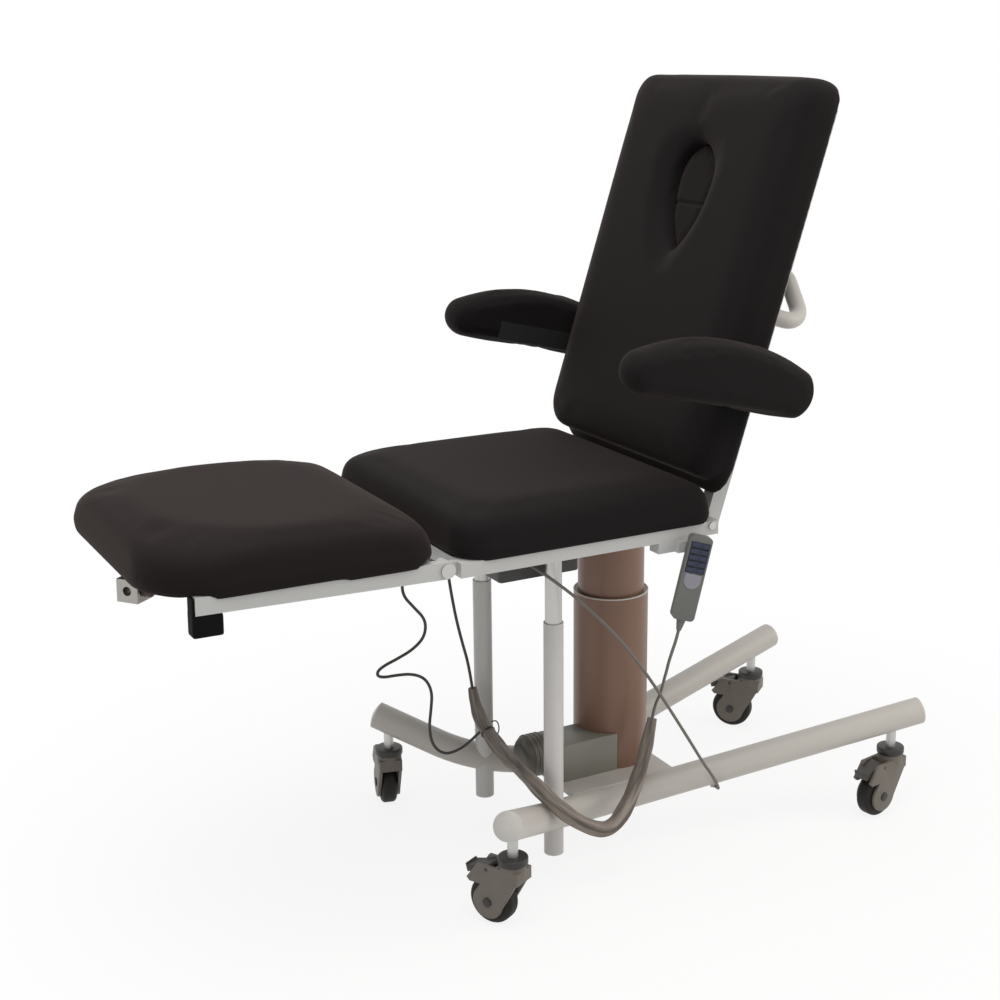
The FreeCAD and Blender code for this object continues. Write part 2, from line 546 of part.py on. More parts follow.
def board(low, high, half, low_corner, high_corner, bottom, gap=0):
    inset = dim["board_inset"] - gap
    wire = outline(low + inset, high - inset, half - inset, low_corner - inset, high_corner - inset, bottom)
    return Part.Face(wire).extrude(Vector(0, 0, dim["board_thickness"] + gap))


def cushion(low, high, half, low_corner, high_corner, bottom, thickness, rounding):
    """A pad whose corners grow rounder by a share of how far each outline is drawn in."""
    gap = dim["soft_gap"]
    sections = []
    for height, inset in cushion_profile(thickness - gap):
        x0, x1, y = low + inset, high - inset, half - inset
        corners = [low_corner + rounding * inset, high_corner + rounding * inset]
        fit = min(1, CORNER_FIT * (x1 - x0) / sum(corners), CORNER_FIT * y / max(corners))
        sections.append(outline(x0, x1, y, fit * corners[0], fit * corners[1], bottom + gap + height))
    pad = Part.makeLoft(sections, True, True)
    recess = board(low, high, half, low_corner, high_corner, bottom, gap)
    return pad.cut(recess)


def skirted(low, high, half, low_corner, high_corner, bottom, thickness, rounding, drop, frame_low):
    """A cushion whose cover reaches down past the top of the frame, outside its rails and beyond its end."""
    gap = dim["soft_gap"]
    beside = dim["rail_outer"] + gap
    pad = cushion(low, high, half, low_corner, high_corner, bottom - drop, thickness + drop, rounding)
    between = Part.makeBox(high - frame_low, 2 * beside, drop + gap,
                           Vector(frame_low, -beside, bottom - drop))
    recess = board(low, high, half, low_corner, high_corner, bottom, gap)
    return pad.cut(between).cut(recess)


SEAT = (dim["seat_front_x"], dim["seat_rear_x"], dim["cushion_half"], dim["seat_front_corner"],
        dim["seat_rear_corner"], dim["hinge_height"] + dim["rail_rise"])
subpart(feature("seat_panel", board(*SEAT)), "seat_board")


def seat_cushion():
    """The pad, hollowed under its rear edge where the back's hinge tube turns."""
    reach = dim["back_rail_outer"] + dim["hinge_clearance"]
    hinge = Part.makeCylinder(dim["torsion_radius"] + dim["hinge_clearance"], 2 * reach,
                              Vector(dim["back_hinge_x"], -reach, dim["hinge_height"]), Vector(0, 1, 0))
    pad = skirted(*SEAT, dim["seat_thickness"], CROWN_ROUNDING, dim["seat_skirt"], dim["seat_front_x"])
    return pad.cut(hinge)


subpart(feature("seat_pad", seat_cushion()), "seat_cushion")

# Control box under the seat
control = block("control_block", "XY_Plane", "box_rear_x - box_front_x", "box_far_y - box_near_y",
                "box_height", "box_corner")
subpart(put(control, "(box_rear_x + box_front_x) / 2", "(box_far_y + box_near_y) / 2",
            f"{FRAME_LOW} - box_height"), "control_box")


# Linear actuators: a fixed housing hung from the guide bar, and a rod with a slotted yoke at its end
def actuator(name, front, rear, mouth, gland_axis, gland_at):
    y, z = f"{name}_rod_y", f"hinge_height - {name}_rod_drop"
    barrel = rod(f"{name}_barrel", "x", "actuator_radius", f"{rear} - {front}", x=front, y=y, z=z)
    hanger = bar(f"{name}_hanger", ("guide_x - hanger_width / 2", "guide_x + hanger_width / 2"),
                 (f"{y} - hanger_width / 2", f"{y} + hanger_width / 2"), (z, FRAME_LOW))
    gland = rod(f"{name}_gland", gland_axis, "gland_radius", "actuator_radius + gland_length", **gland_at)
    bore = rod(f"{name}_bore", "x", "actuator_rod + running_gap", f"{rear} - {front} - housing_end",
               x=front if mouth == "front" else f"{front} + housing_end", y=y, z=z)
    housing = cut(f"{name}_housing", fuse(f"{name}_housing_weld", [barrel, hanger, gland]), [bore])
    subpart(housing, f"{name}_actuator")


actuator("leg", "leg_housing_front", "leg_housing_rear", "front", "y",
         {"x": "leg_housing_front + gland_radius + gland_length", "y": "leg_rod_y",
          "z": "hinge_height - leg_rod_drop"})
actuator("back", "back_housing_front", "back_housing_rear", "rear", "z",
         {"x": "back_housing_front + gland_radius + gland_length", "y": "back_rod_y",
          "z": "hinge_height - back_rod_drop - actuator_radius - gland_length"})


def actuator_rod(name, slot_x, start, end):
    y, z = f"{name}_rod_y", f"hinge_height - {name}_rod_drop"
    shaft = rod(f"{name}_shaft", "x", "actuator_rod", f"({end}) - ({start})", x=start, y=y, z=z)
    plate = bar(f"{name}_yoke", (f"{slot_x} - yoke_width / 2", f"{slot_x} + yoke_width / 2"),
                (f"{y} - yoke_thickness / 2", f"{y} + yoke_thickness / 2"),
                (f"{z} - yoke_height / 2", f"{z} + yoke_height / 2"))
    slot = bar(f"{name}_slot", (f"{slot_x} - crank_pin - slot_gap", f"{slot_x} + crank_pin + slot_gap"),
               (f"{y} - yoke_thickness", f"{y} + yoke_thickness"),
               (f"{z} - crank_pin - slot_rise", f"{z} + crank_pin + slot_rise"))
    subpart(cut(f"{name}_rod", fuse(f"{name}_rod_weld", [shaft, plate]), [slot]), f"{name}_actuator_rod")


RADIAN = "pi / 180"
LEG_SLOT = f"(leg_hinge_x - crank_radius * leg_crank_slope * (leg_crank_middle + leg_angle) * {RADIAN})"
BACK_SLOT = f"(back_hinge_x + crank_radius * back_crank_slope * (back_angle - back_crank_middle) * {RADIAN})"
actuator_rod("leg", LEG_SLOT, f"{LEG_SLOT} + yoke_width / 2", "leg_housing_front + rod_engaged")
actuator_rod("back", BACK_SLOT, "back_housing_rear - rod_engaged", f"{BACK_SLOT} - yoke_width / 2")


def crank(name, direction, y, root):
    """Two cheeks and a cross pin that hang from a bar; the yoke slides between the cheeks."""
    pin = Vector(dim["crank_radius"] * direction[0], 0, dim["crank_radius"] * direction[1])
    edge = dim["cheek_edge"]
    side = Vector(pin.z - root.z, 0, root.x - pin.x).normalize() * edge
    cheeks = []
    for low in (-dim["cheek_gap"] - dim["cheek_thickness"], dim["cheek_gap"]):
        shift = Vector(0, y + low, 0)
        corners = [root + side, root - side, pin - side, pin + side]
        face = Part.Face(Part.makePolygon([point + shift for point in corners + corners[:1]]))
        cheeks.append(face.extrude(Vector(0, dim["cheek_thickness"], 0)))
        cheeks.append(Part.makeCylinder(edge, dim["cheek_thickness"], pin + shift, Vector(0, 1, 0)))
    length = 2 * (dim["cheek_gap"] + dim["cheek_thickness"])
    cheeks.append(Part.makeCylinder(dim["crank_pin"], length, pin + Vector(0, y - length / 2, 0),
                                    Vector(0, 1, 0)))
    return feature(name, cheeks[0].multiFuse(cheeks[1:]))


def downward(angle):
    """The direction in a section's own frame that hangs straight down when the section is at an angle."""
    return math.sin(math.radians(angle)), -math.cos(math.radians(angle))


# Leg section
welded = []
drilled = []
for side, sign in SIDES.items():
    whole = spans(side, RAIL_IN, "rail_outer")
    lug = spans(side, f"rail_outer - ({LUG_IN})", "rail_outer")
    heights = ("-leg_rail_height / 2", "leg_rail_height / 2")
    welded.append(bar(f"leg_rail_{side}", ("-leg_rail_length", "-rail_setback"), whole, heights))
    welded.append(bar(f"leg_lug_{side}", ("-rail_setback", "0"), lug, ("-lug_radius", "lug_radius")))
    welded.append(rod(f"leg_eye_{side}", "y", "lug_radius", LUG_IN, y=lug[0]))
    drilled.append(rod(f"leg_bore_{side}", "y", "pin_radius + running_gap", "rail_width", y=whole[0]))
FOOT_BAR = "(leg_rail_length - leg_bar_inset)"
for name, along in (("hinge", "leg_bar_one"), ("foot", FOOT_BAR)):
    welded.append(bar(f"leg_bar_{name}", (f"-{along} - bar_width / 2", f"-{along} + bar_width / 2"), ACROSS,
                      ("-leg_rail_height / 2", "leg_rail_height / 2")))
welded.append(crank("leg_crank", downward(-dim["leg_crank_middle"]), dim["leg_rod_y"],
                    Vector(-dim["leg_bar_one"], 0, 0)))
subpart(on_leg(cut("leg_weld", fuse("leg_bars", welded), drilled)), "leg_frame")

LEG = (-dim["leg_rail_length"] - dim["leg_overhang"], -dim["leg_start"], dim["cushion_half"],
       dim["leg_front_corner"], dim["leg_rear_corner"], dim["leg_rail_height"] / 2)
subpart(on_leg(feature("leg_panel", board(*LEG))), "leg_board")
LEG_FRAME_END = -dim["leg_rail_length"] - dim["bumper_end"] - dim["soft_gap"]
leg_pad = skirted(*LEG, dim["leg_thickness"], LEG_ROUNDING, dim["leg_skirt"], LEG_FRAME_END)
subpart(on_leg(feature("leg_pad", leg_pad)), "leg_cushion")

bumpers = []
for side in SIDES:
    y = spans(side, RAIL_IN, "rail_outer")
    under = bar(f"bumper_{side}", ("-leg_rail_length", "-leg_rail_length + bumper_length"), y,
                ("-leg_rail_height / 2 - bumper_drop", "-leg_rail_height / 2"))
    face = bar(f"bumper_end_{side}", ("-leg_rail_length - bumper_end", "-leg_rail_length"), y,
               ("-leg_rail_height / 2 - bumper_drop", "leg_rail_height / 2"))
    bumpers.append(fuse(f"bumper_weld_{side}", [under, face]))
subpart(on_leg(group("bumpers", bumpers)), "leg_bumpers")

# Accessory clamp at the foot end, turned to the near side, with its clamping knob. The jaw and the knob are drawn
# about the middle of the jaw, with the bore along X and the knob's screw along Y.
HALF = "clamp_size / 2"
CLAMP_X = "(-leg_rail_length - clamp_reach)"


def in_clamp(obj):
    """Turn a piece of the clamp about the upright and carry it to the clamp's place on the leg section."""
    obj.Placement = Placement(Vector(), Rotation(Vector(0, 0, 1), 1))
    bind(obj, Placement__Rotation__Angle="clamp_turn")
    return put(obj, CLAMP_X, "clamp_y", "clamp_z")


jaw = bar("clamp_jaw", (f"-{HALF}", HALF), (f"-{HALF}", HALF), (f"-{HALF}", HALF))
socket = rod("clamp_socket", "x", "clamp_bore", "clamp_size", x=f"-{HALF}")
screw_hole = rod("clamp_thread", "y", "knob_screw + running_gap", HALF, y=f"-{HALF}")
bored_jaw = in_clamp(cut("clamp_bored", jaw, [socket, screw_hole]))
arm = bar("clamp_bracket", (CLAMP_X, f"-{FOOT_BAR} - bar_width / 2"), (f"clamp_y - {HALF}", f"clamp_y + {HALF}"),
          ("-leg_rail_height / 2", "-leg_rail_height / 2 + clamp_arm"))
subpart(on_leg(fuse("clamp", [bored_jaw, arm])), "foot_clamp")
screw = rod("knob_shank", "y", "knob_screw", f"{HALF} - clamp_bore", y=f"-{HALF}")
stub = rod("knob_stub", "y", "knob_screw", "knob_length", y=f"-{HALF} - knob_length")
grip = rod("knob_grip", "y", "knob_radius", "knob_length", y=f"-{HALF} - lug_gap / 2 - knob_length")
knob = in_clamp(fuse("knob", [screw, stub, grip]))
subpart(on_leg(group("knob_turned", [knob])), "clamp_knob")

# Back section
BACK_IN = "back_rail_outer - rail_width"
RAIL_V = ("-back_rail_drop - back_rail_height", "-back_rail_drop")
welded = []
drilled = []
for side, sign in SIDES.items():
    y = spans(side, BACK_IN, "back_rail_outer")
    welded.append(bar(f"back_rail_{side}", ("-lug_radius", "back_rail_end"), y, RAIL_V))
    welded.append(bar(f"back_lug_{side}", ("-lug_radius", "lug_radius"), y, ("-back_rail_drop", "0")))
    welded.append(rod(f"back_eye_{side}", "y", "lug_radius", "rail_width", y=y[0]))
    drilled.append(rod(f"back_bore_{side}", "y", "pin_radius + running_gap", "rail_width", y=y[0]))
    drilled.append(rod(f"arm_bore_{side}", "y", "arm_pin + running_gap", "rail_width", x="arm_pivot_along",
                       y=y[0], z="-arm_pivot_drop"))
BETWEEN = (f"-({BACK_IN})", BACK_IN)
welded.append(rod("torsion_tube", "y", "torsion_radius", f"2 * ({BACK_IN})", y=f"-({BACK_IN})"))
for name in ("back_bar_one", "back_bar_two"):
    reach = (f"{name} - bar_width / 2", f"{name} + bar_width / 2")
    welded.append(bar(name + "_tube", reach, BETWEEN, RAIL_V))
welded.append(crank("back_crank", tuple(-abs(part) for part in downward(dim["back_crank_middle"])),
                    dim["back_rod_y"], Vector()))
subpart(on_back(cut("back_weld", fuse("back_bars", welded), drilled)), "back_frame")


def push_bar():
    """A bent tube behind the back: out from the rails, then up and inward to a cross grip."""
    behind = -dim["back_rail_drop"] - dim["back_rail_height"]
    y = dim["back_rail_outer"] - dim["rail_width"] / 2
    half = [Vector(dim["push_start"], y, behind),
            Vector(dim["push_start"], y + dim["push_spread"], behind - dim["push_back"]),
            Vector(dim["push_top"], dim["push_half"], behind - dim["push_back"])]
    points = half + [Vector(point.x, -point.y, point.z) for point in reversed(half)]
    wire = rounded_wire(points, [dim["push_bend"]] * (len(points) - 2))
    solid = pipe(wire, dim["push_radius"])
    rail = dim["back_rail_height"]
    inside_rails = Part.makeBox(dim["back_rail_end"], 2 * dim["back_rail_outer"], rail,
                                Vector(0, -dim["back_rail_outer"], behind))
    return solid.cut(inside_rails)


subpart(on_back(feature("push_tube", push_bar())), "push_bar")


# The face opening's half outline: shares of its length and half width, pointed low and round high
LEAF = ((0.0, 0.0), (0.3, 0.74), (0.66, 1.0), (0.92, 0.62), (1.0, 0.0))


def leaf(grow, level):
    """The face opening's outline, grown by a distance."""
    low, high, half = dim["face_low"] - grow, dim["face_high"] + grow, dim["face_half"] + grow
    right = [Vector(low + share * (high - low), wide * half, level) for share, wide in LEAF]
    left = [Vector(point.x, -point.y, level) for point in reversed(right)]
    arcs = [right[0:3], right[2:5], left[0:3], left[2:5]]
    return Part.Wire([Part.Arc(*points).toShape() for points in arcs])


BOARD_LOW = -dim["back_rail_drop"]
BACK_TOP = BOARD_LOW + dim["back_thickness"]
BACK = (dim["back_start"], dim["back_end"], dim["cushion_half"], dim["back_low_corner"],
        dim["back_high_corner"], BOARD_LOW)
face_hole = Part.Face(leaf(dim["face_gap"], BOARD_LOW)).extrude(Vector(0, 0, dim["back_thickness"]))
dent_rims = [leaf(dim["face_gap"], BACK_TOP - dim["dent_depth"]), leaf(dim["face_dent"], BACK_TOP)]
face_dent = Part.makeLoft(dent_rims, True, False)
subpart(on_back(feature("back_panel", board(*BACK).cut(face_hole))), "back_board")
back_pad = cushion(*BACK, dim["back_thickness"], CROWN_ROUNDING).cut(face_hole).cut(face_dent)
subpart(on_back(feature("back_pad", back_pad)), "back_cushion")

# The plug's sections: shares of its thickness and of how far its edge is drawn in
PLUG = ((0.0, 0.0), (0.6, 0.0), (0.76, 0.05), (0.86, 0.17), (0.94, 0.4), (1.0, 1.0))
plug = Part.makeLoft([leaf(-drawn * dim["plug_edge"], BOARD_LOW + share * dim["plug_thickness"])
                      for share, drawn in PLUG], True, True)
subpart(on_back(feature("face_filler", plug)), "face_plug")

# Armrests on the sides of the back
ARM_X = "back_hinge_x + arm_pivot_along * cos(back_angle) + arm_pivot_drop * sin(back_angle)"
ARM_Z = "hinge_height + arm_pivot_along * sin(back_angle) - arm_pivot_drop * cos(back_angle)"


def arm_outline(y, inset):
    """Loaf-shaped side view: flat underside, blunt rounded ends and one long arc over the top."""
    bottom, crown = inset - dim["arm_bottom"], dim["arm_crown"] - inset
    front, rear = inset - dim["arm_front"], dim["arm_rear"] - inset
    toe = Vector(front + dim["arm_toe"], y, bottom)
    heel = Vector(rear - dim["arm_heel"], y, bottom)
    rear_end = Vector(rear, y, dim["arm_rear_nose"])
    rear_top = Vector(rear - dim["arm_rear_back"], y, dim["arm_rear_high"] - inset)
    top = Vector(-dim["arm_crown_x"], y, crown)
    front_top = Vector(front + dim["arm_front_back"], y, dim["arm_front_high"] - inset)
    front_end = Vector(front, y, dim["arm_front_nose"])
    arcs = [(heel, rear_end, rear_top), (rear_top, top, front_top), (front_top, front_end, toe)]
    edges = [Part.LineSegment(toe, heel)] + [Part.Arc(*points) for points in arcs]
    return Part.Wire([edge.toShape() for edge in edges])


# The pad's sections: shares of its width and of how far its sides are drawn in
ARM_SECTIONS = ((0.0, 1.0), (0.12, 0.35), (0.35, 0.0), (0.65, 0.0), (0.88, 0.35), (1.0, 1.0))
PLATE_IN = "cushion_half + arm_plate_gap"
for side, sign in SIDES.items():
    inner = dim["cushion_half"] + dim["arm_plate_gap"] + dim["arm_plate"]
    sections = [arm_outline(sign * (inner + share * dim["arm_width"]), drawn * dim["arm_soft"])
                for share, drawn in ARM_SECTIONS]
    pad = feature(f"arm_pad_{side}", Part.makeLoft(sections, True, False))
    subpart(lean(pad, "arm_angle", ARM_X, ARM_Z), f"armrest_pad_{side}")
    y = spans(side, PLATE_IN, f"{PLATE_IN} + arm_plate")
    strip = bar(f"arm_strip_{side}", ("-arm_plate_length", "0"), y,
                ("-arm_plate_height / 2", "arm_plate_height / 2"))
    eye = rod(f"arm_eye_{side}", "y", "arm_plate_height / 2", "arm_plate", y=y[0])
    reach = spans(side, BACK_IN, PLATE_IN)
    pivot = rod(f"arm_pivot_{side}", "y", "arm_pin", f"{PLATE_IN} - ({BACK_IN})", y=reach[0])
    bracket = fuse(f"arm_bracket_{side}", [strip, eye, pivot])
    subpart(lean(bracket, "arm_angle", ARM_X, ARM_Z), f"armrest_bracket_{side}")

# Handset on its bracket, with rocker keys in a sunk panel and a tapered relief at its foot. It is turned about
# its length, so one long edge of its back rests on the bracket.
HANDSET_Y = "-rail_outer - hook_reach - handset_width / 2 * sin(handset_turn * 1 deg)"


def in_handset(obj):
    """Turn a piece of the handset about the handset's length, then lean it and carry it to the bracket."""
    obj.Placement = Placement(Vector(), Rotation(Vector(0, 0, 1), 1))
    bind(obj, Placement__Rotation__Angle="-handset_turn")
    hung_piece = group(obj.Name + "_hung", [obj])
    return lean(hung_piece, "handset_angle", "handset_x", "hinge_height - handset_drop", HANDSET_Y)


shell = block("handset_block", "XZ_Plane", "handset_width", "handset_length", "handset_depth",
              "handset_corner")
FACE = "-handset_depth"
PANEL_LOW = "key_top - (key_count - 1) * key_pitch - key_height / 2 - key_gap"
pocket = bar("key_pocket", ("-key_width / 2 - key_gap", "key_width / 2 + key_gap"),
             (FACE, f"{FACE} + pocket_depth"), (PANEL_LOW, "key_top + key_height / 2 + key_gap"))
relief = doc.addObject("Part::Cone", "relief")
bind(relief, Radius1="relief_thin", Radius2="relief_wide", Height="relief_length")
put(relief, "0", "-handset_depth / 2", "-handset_length / 2 - relief_length")
subpart(in_handset(fuse("handset", [cut("handset_cut", shell, [pocket]), relief])), "handset_shell")

for number in range(int(dim["key_count"])):
    middle = f"(key_top - {number} * key_pitch)"
    floor = f"{FACE} + pocket_depth"
    tall = (f"{middle} - key_height / 2", f"{middle} + key_height / 2")
    plate = bar(f"key_plate_{number}", ("-key_width / 2", "key_width / 2"),
                (f"{floor} - key_lift - key_plate", f"{floor} - key_lift"), tall)
    ridge = rod(f"key_ridge_{number}", "z", "key_ridge", "key_height", y=f"{floor} - key_lift", z=tall[0])
    raised = [bar(f"key_pad_{number}_{i}", (f"{low} + pad_inset", f"{low} + pad_inset + pad_width"),
                  (f"{floor} - key_lift - key_plate - pad_rise", f"{floor} - key_lift - key_plate"),
                  (f"{middle} - key_height / 2 + pad_inset", f"{middle} + key_height / 2 - pad_inset"))
              for i, low in enumerate(("-key_width / 2", "key_width / 2 - pad_width - 2 * pad_inset"))]
    key = fuse(f"key_{number}", [plate, ridge] + raised)
    subpart(in_handset(key), f"handset_key_{number + 1}")

# Cords: each leaves its gland straight, then follows hand-chosen points. The points were chosen for one height
# of the hinge line; above the sleeve they rise and fall with it, each by its share of the way up.
GLAND_OUT = dim["gland_radius"] + dim["gland_length"]
GLAND_REACH = dim["actuator_radius"] + dim["gland_length"]
LEG_GLAND = Vector(dim["leg_housing_front"] + GLAND_OUT, dim["leg_rod_y"] + GLAND_REACH,
                   dim["hinge_height"] - dim["leg_rod_drop"])
BACK_GLAND = Vector(dim["back_housing_front"] + GLAND_OUT, dim["back_rod_y"],
                    dim["hinge_height"] - dim["back_rod_drop"] - GLAND_REACH)
HANDSET_AXES = (Rotation(Vector(0, 1, 0), dim["handset_angle"])
                * Rotation(Vector(0, 0, 1), -dim["handset_turn"]))
HANDSET_OUT = dim["hook_reach"] + dim["handset_width"] / 2 * math.sin(math.radians(dim["handset_turn"]))
HANDSET_DOWN = HANDSET_AXES.multVec(Vector(0, 0, -1))
HANDSET_TIP = (Vector(dim["handset_x"], -dim["rail_outer"] - HANDSET_OUT,
                      dim["hinge_height"] - dim["handset_drop"])
               + HANDSET_AXES.multVec(Vector(0, -dim["handset_depth"] / 2, 0))
               + HANDSET_DOWN * (dim["handset_length"] / 2 + dim["relief_length"]))
LEAD_EXITS = {
    "leg_actuator_lead": [LEG_GLAND, LEG_GLAND + Vector(0, dim["leg_exit"], 0)],
    "back_actuator_lead": [BACK_GLAND, BACK_GLAND - Vector(0, 0, dim["back_exit"])],
    "handset_lead": [HANDSET_TIP, HANDSET_TIP + HANDSET_DOWN * dim["handset_exit"]],
}


def hung(x, y, z):
    """A chosen point, moved with the hinge line."""
    share = (z - dim["still_height"]) / (dim["drawn_height"] - dim["still_height"])
    return Vector(x, y, z + max(0, min(1, share)) * (dim["hinge_height"] - dim["drawn_height"]))


# Each bend takes up this share of the shorter run beside it
BEND_SHARE = 0.45
SLEEVE_FRONT = (-262, 105, 312)
SLEEVE_REAR = (19, -130, 274)
ROUTES = {
    "cable_sleeve": [SLEEVE_FRONT, (-257, 100, 262), (-247, 62, 222), (-250, -20, 206), (-262, -100, 214),
                     (-268, -166, 212), (-250, -220, 184), (-198, -237, 138), (-138, -228, 110),
                     (-80, -200, 138), (-12, -152, 204), SLEEVE_REAR],
    "leg_actuator_lead": [(-392, 66, 643), (-406, 77, 616), (-420, 80, 582), (-422, 80, 546),
                          (-398, 80, 516), (-373, 80, 486), (-376, 80, 452), (-402, 80, 430),
                          (-436, 80, 417), (-462, 80, 409), (-477, 81, 400), (-478, 82, 389), (-464, 83, 383),
                          (-438, 84, 382), (-402, 87, 377), (-372, 91, 360), (-357, 93, 328), (-359, 96, 290),
                          (-363, 99, 250), (-356, 101, 210), (-332, 101, 184), (-304, 97, 186),
                          (-278, 89, 203), (-252, 78, 232)],
    "back_actuator_lead": [(-313, 100, 560), (-305, 101, 510), (-295, 104, 462), (-281, 109, 412),
                           (-267, 110, 362), SLEEVE_FRONT],
    "handset_lead": [(-58, -309, 488), (-52, -290, 461), (-35, -258, 428), (-14, -219, 394), (8, -180, 358),
                     (23.5, -148, 327), (28.3, -123.4, 295), SLEEVE_REAR],
    "earth_lead": [(-285, -112, 660), (-285, -132, 660), (-282, -160, 656), (-270, -186, 646),
                   (-250, -203, 629), (-212, -213, 596), (-165, -216, 549), (-118, -220, 497),
                   (-76, -225, 441), (-36, -228, 381), (4, -229, 318), (44, -226, 256), (84, -217, 196),
                   (114, -206, 158), (133, -197, 131), (145, -187, 114), (150, -176, 109), (152, -164, 109)],
}
for name, points in ROUTES.items():
    route = LEAD_EXITS.get(name, []) + [hung(*point) for point in points]
    radii = []
    for before, point, after in zip(route, route[1:], route[2:]):
        half_turn = (point - before).getAngle(after - point) / 2
        radii.append(BEND_SHARE * min((point - before).Length, (after - point).Length) / math.tan(half_turn))
    diameter = dim["sleeve_diameter" if name == "cable_sleeve" else "lead_diameter"]
    wire = rounded_wire(route, radii)
    cord = pipe(wire, diameter / 2)
    ideal = math.pi * (diameter / 2) ** 2 * wire.Length
    print(name, "length", round(wire.Length), "least radius", round(min(radii), 1), "of", diameter,
          "volume share", round(cord.Volume / ideal, 4))
    subpart(feature(f"{name}_run", cord), name)

doc.recompute()
for obj in doc.Objects:
    if "Invalid" in obj.State or "Error" in obj.State:
        raise RuntimeError(f"{obj.Name} failed: {obj.State}")
os.makedirs("parts", exist_ok=True)
for obj in subparts:
    shape = obj.Shape
    if shape.isNull() or not shape.isValid() or not shape.Solids:
        raise RuntimeError(f"{obj.Label} has no valid solid")
    shape.exportStep(f"parts/{obj.Label}.step")
    print(obj.Label, len(shape.Solids), "solid", round(shape.Volume / 1000, 1), "cm3")
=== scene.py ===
# %% [markdown]
# # A treatment table, dressed for the camera
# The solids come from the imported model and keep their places. This lesson adds what they cannot give:
# stuffed cushions, hanging cables, eased plastic edges, and finishes with grain and wear.
# Everything is in metres. The origin is on the floor under the lifting column and +X is the head end.

# %% Load the frame
import math

import bpy
from mathutils import Matrix, Vector


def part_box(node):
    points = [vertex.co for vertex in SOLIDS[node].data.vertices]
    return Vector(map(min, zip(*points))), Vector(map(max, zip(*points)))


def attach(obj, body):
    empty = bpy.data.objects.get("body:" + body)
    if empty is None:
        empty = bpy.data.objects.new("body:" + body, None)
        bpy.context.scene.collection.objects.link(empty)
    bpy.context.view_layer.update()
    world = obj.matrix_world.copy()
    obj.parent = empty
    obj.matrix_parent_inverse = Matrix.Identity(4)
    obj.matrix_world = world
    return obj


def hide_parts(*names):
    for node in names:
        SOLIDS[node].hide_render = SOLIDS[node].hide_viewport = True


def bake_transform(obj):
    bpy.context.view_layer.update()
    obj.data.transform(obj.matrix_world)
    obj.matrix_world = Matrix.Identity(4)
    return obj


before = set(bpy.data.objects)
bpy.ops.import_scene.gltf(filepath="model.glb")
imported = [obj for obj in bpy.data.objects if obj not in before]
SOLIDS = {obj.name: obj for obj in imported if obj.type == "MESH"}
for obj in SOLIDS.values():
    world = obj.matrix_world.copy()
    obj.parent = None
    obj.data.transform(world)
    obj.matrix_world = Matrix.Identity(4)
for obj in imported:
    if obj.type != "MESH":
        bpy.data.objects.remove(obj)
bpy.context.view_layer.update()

scene = bpy.context.scene

# %% [markdown]
# ## Camera and light
# A picture taken from in front of the foot end, a little above the cushions, shows the leg rest large and
# the back small. The lens is a short telephoto. Its sideways shift puts the table where the picture has it.

# %% Camera
camera_data = bpy.data.cameras.new("picture_camera")
camera_data.sensor_width = 36.0
camera_data.lens = 58.07
camera_data.shift_x = -0.0637
camera = bpy.data.objects.new("picture_camera", camera_data)
camera.location = (-1.621, -2.618, 1.555)
camera.rotation_euler = (math.radians(74.394), 0.0, math.radians(-30.0))
scene.collection.objects.link(camera)
scene.camera = camera
scene.view_settings.view_transform = "Standard"
print("camera at", tuple(camera.location))


# %% Small helpers for nodes and colours
def linear(code):
    """An sRGB hex colour as linear light with alpha 1."""
    parts = [int(code[i:i + 2], 16) / 255 for i in (1, 3, 5)]
    return [part / 12.92 if part <= 0.04045 else ((part + 0.055) / 1.055) ** 2.4 for part in parts] + [1.0]


def add(tree, kind, links=None, values=None, **settings):
    """Put one node in a tree, set its options and sockets, and wire what feeds it."""
    made = tree.nodes.new(kind)
    for name, value in settings.items():
        setattr(made, name, value)
    for name, value in (values or {}).items():
        made.inputs[name].default_value = value
    for name, socket in (links or {}).items():
        tree.links.new(socket, made.inputs[name])
    return made


def blank_material(name):
    """A new material with its shader and its output, ready for a pattern."""
    material = bpy.data.materials.new(name)
    material.use_nodes = True
    tree = material.node_tree
    return material, tree, tree.nodes["Principled BSDF"]


print("paper white is", [round(part, 3) for part in linear("#f4f4f2")])

# %% [markdown]
# The studio is plain: a white sweep, one large lamp above the foot end's left, a weaker one on the right and
# light from all round. To the camera and to mirrors the sweep and the sky are white. The floor mixes its own
# lit colour with that white near the table, so a soft shadow stays under the wheels.


# %% Sky
def white_where_seen(tree):
    """A socket that is 1 for what the camera, a mirror or glass sees and 0 for other light."""
    seen = add(tree, "ShaderNodeLightPath")
    mirrored = add(tree, "ShaderNodeMath", operation="MAXIMUM",
                   links={0: seen.outputs["Is Glossy Ray"], 1: seen.outputs["Is Transmission Ray"]})
    either = add(tree, "ShaderNodeMath", operation="MAXIMUM",
                 links={0: seen.outputs["Is Camera Ray"], 1: mirrored.outputs[0]})
    return either.outputs[0]


world = bpy.data.worlds.new("studio")
scene.world = world
world.use_nodes = True
sky = world.node_tree
sky.nodes.clear()
room = add(sky, "ShaderNodeBackground", values={"Color": linear("#f2f3f5"), "Strength": 0.55})
paper = add(sky, "ShaderNodeBackground", values={"Color": (1, 1, 1, 1), "Strength": 1.0})
shown = add(sky, "ShaderNodeMixShader",
            links={0: white_where_seen(sky), 1: room.outputs[0], 2: paper.outputs[0]})
add(sky, "ShaderNodeOutputWorld", links={"Surface": shown.outputs[0]})
print("sky nodes:", len(sky.nodes))

# %% Lamps
LAMPS_AIM_AT = Vector((-0.15, 0.0, 0.75))


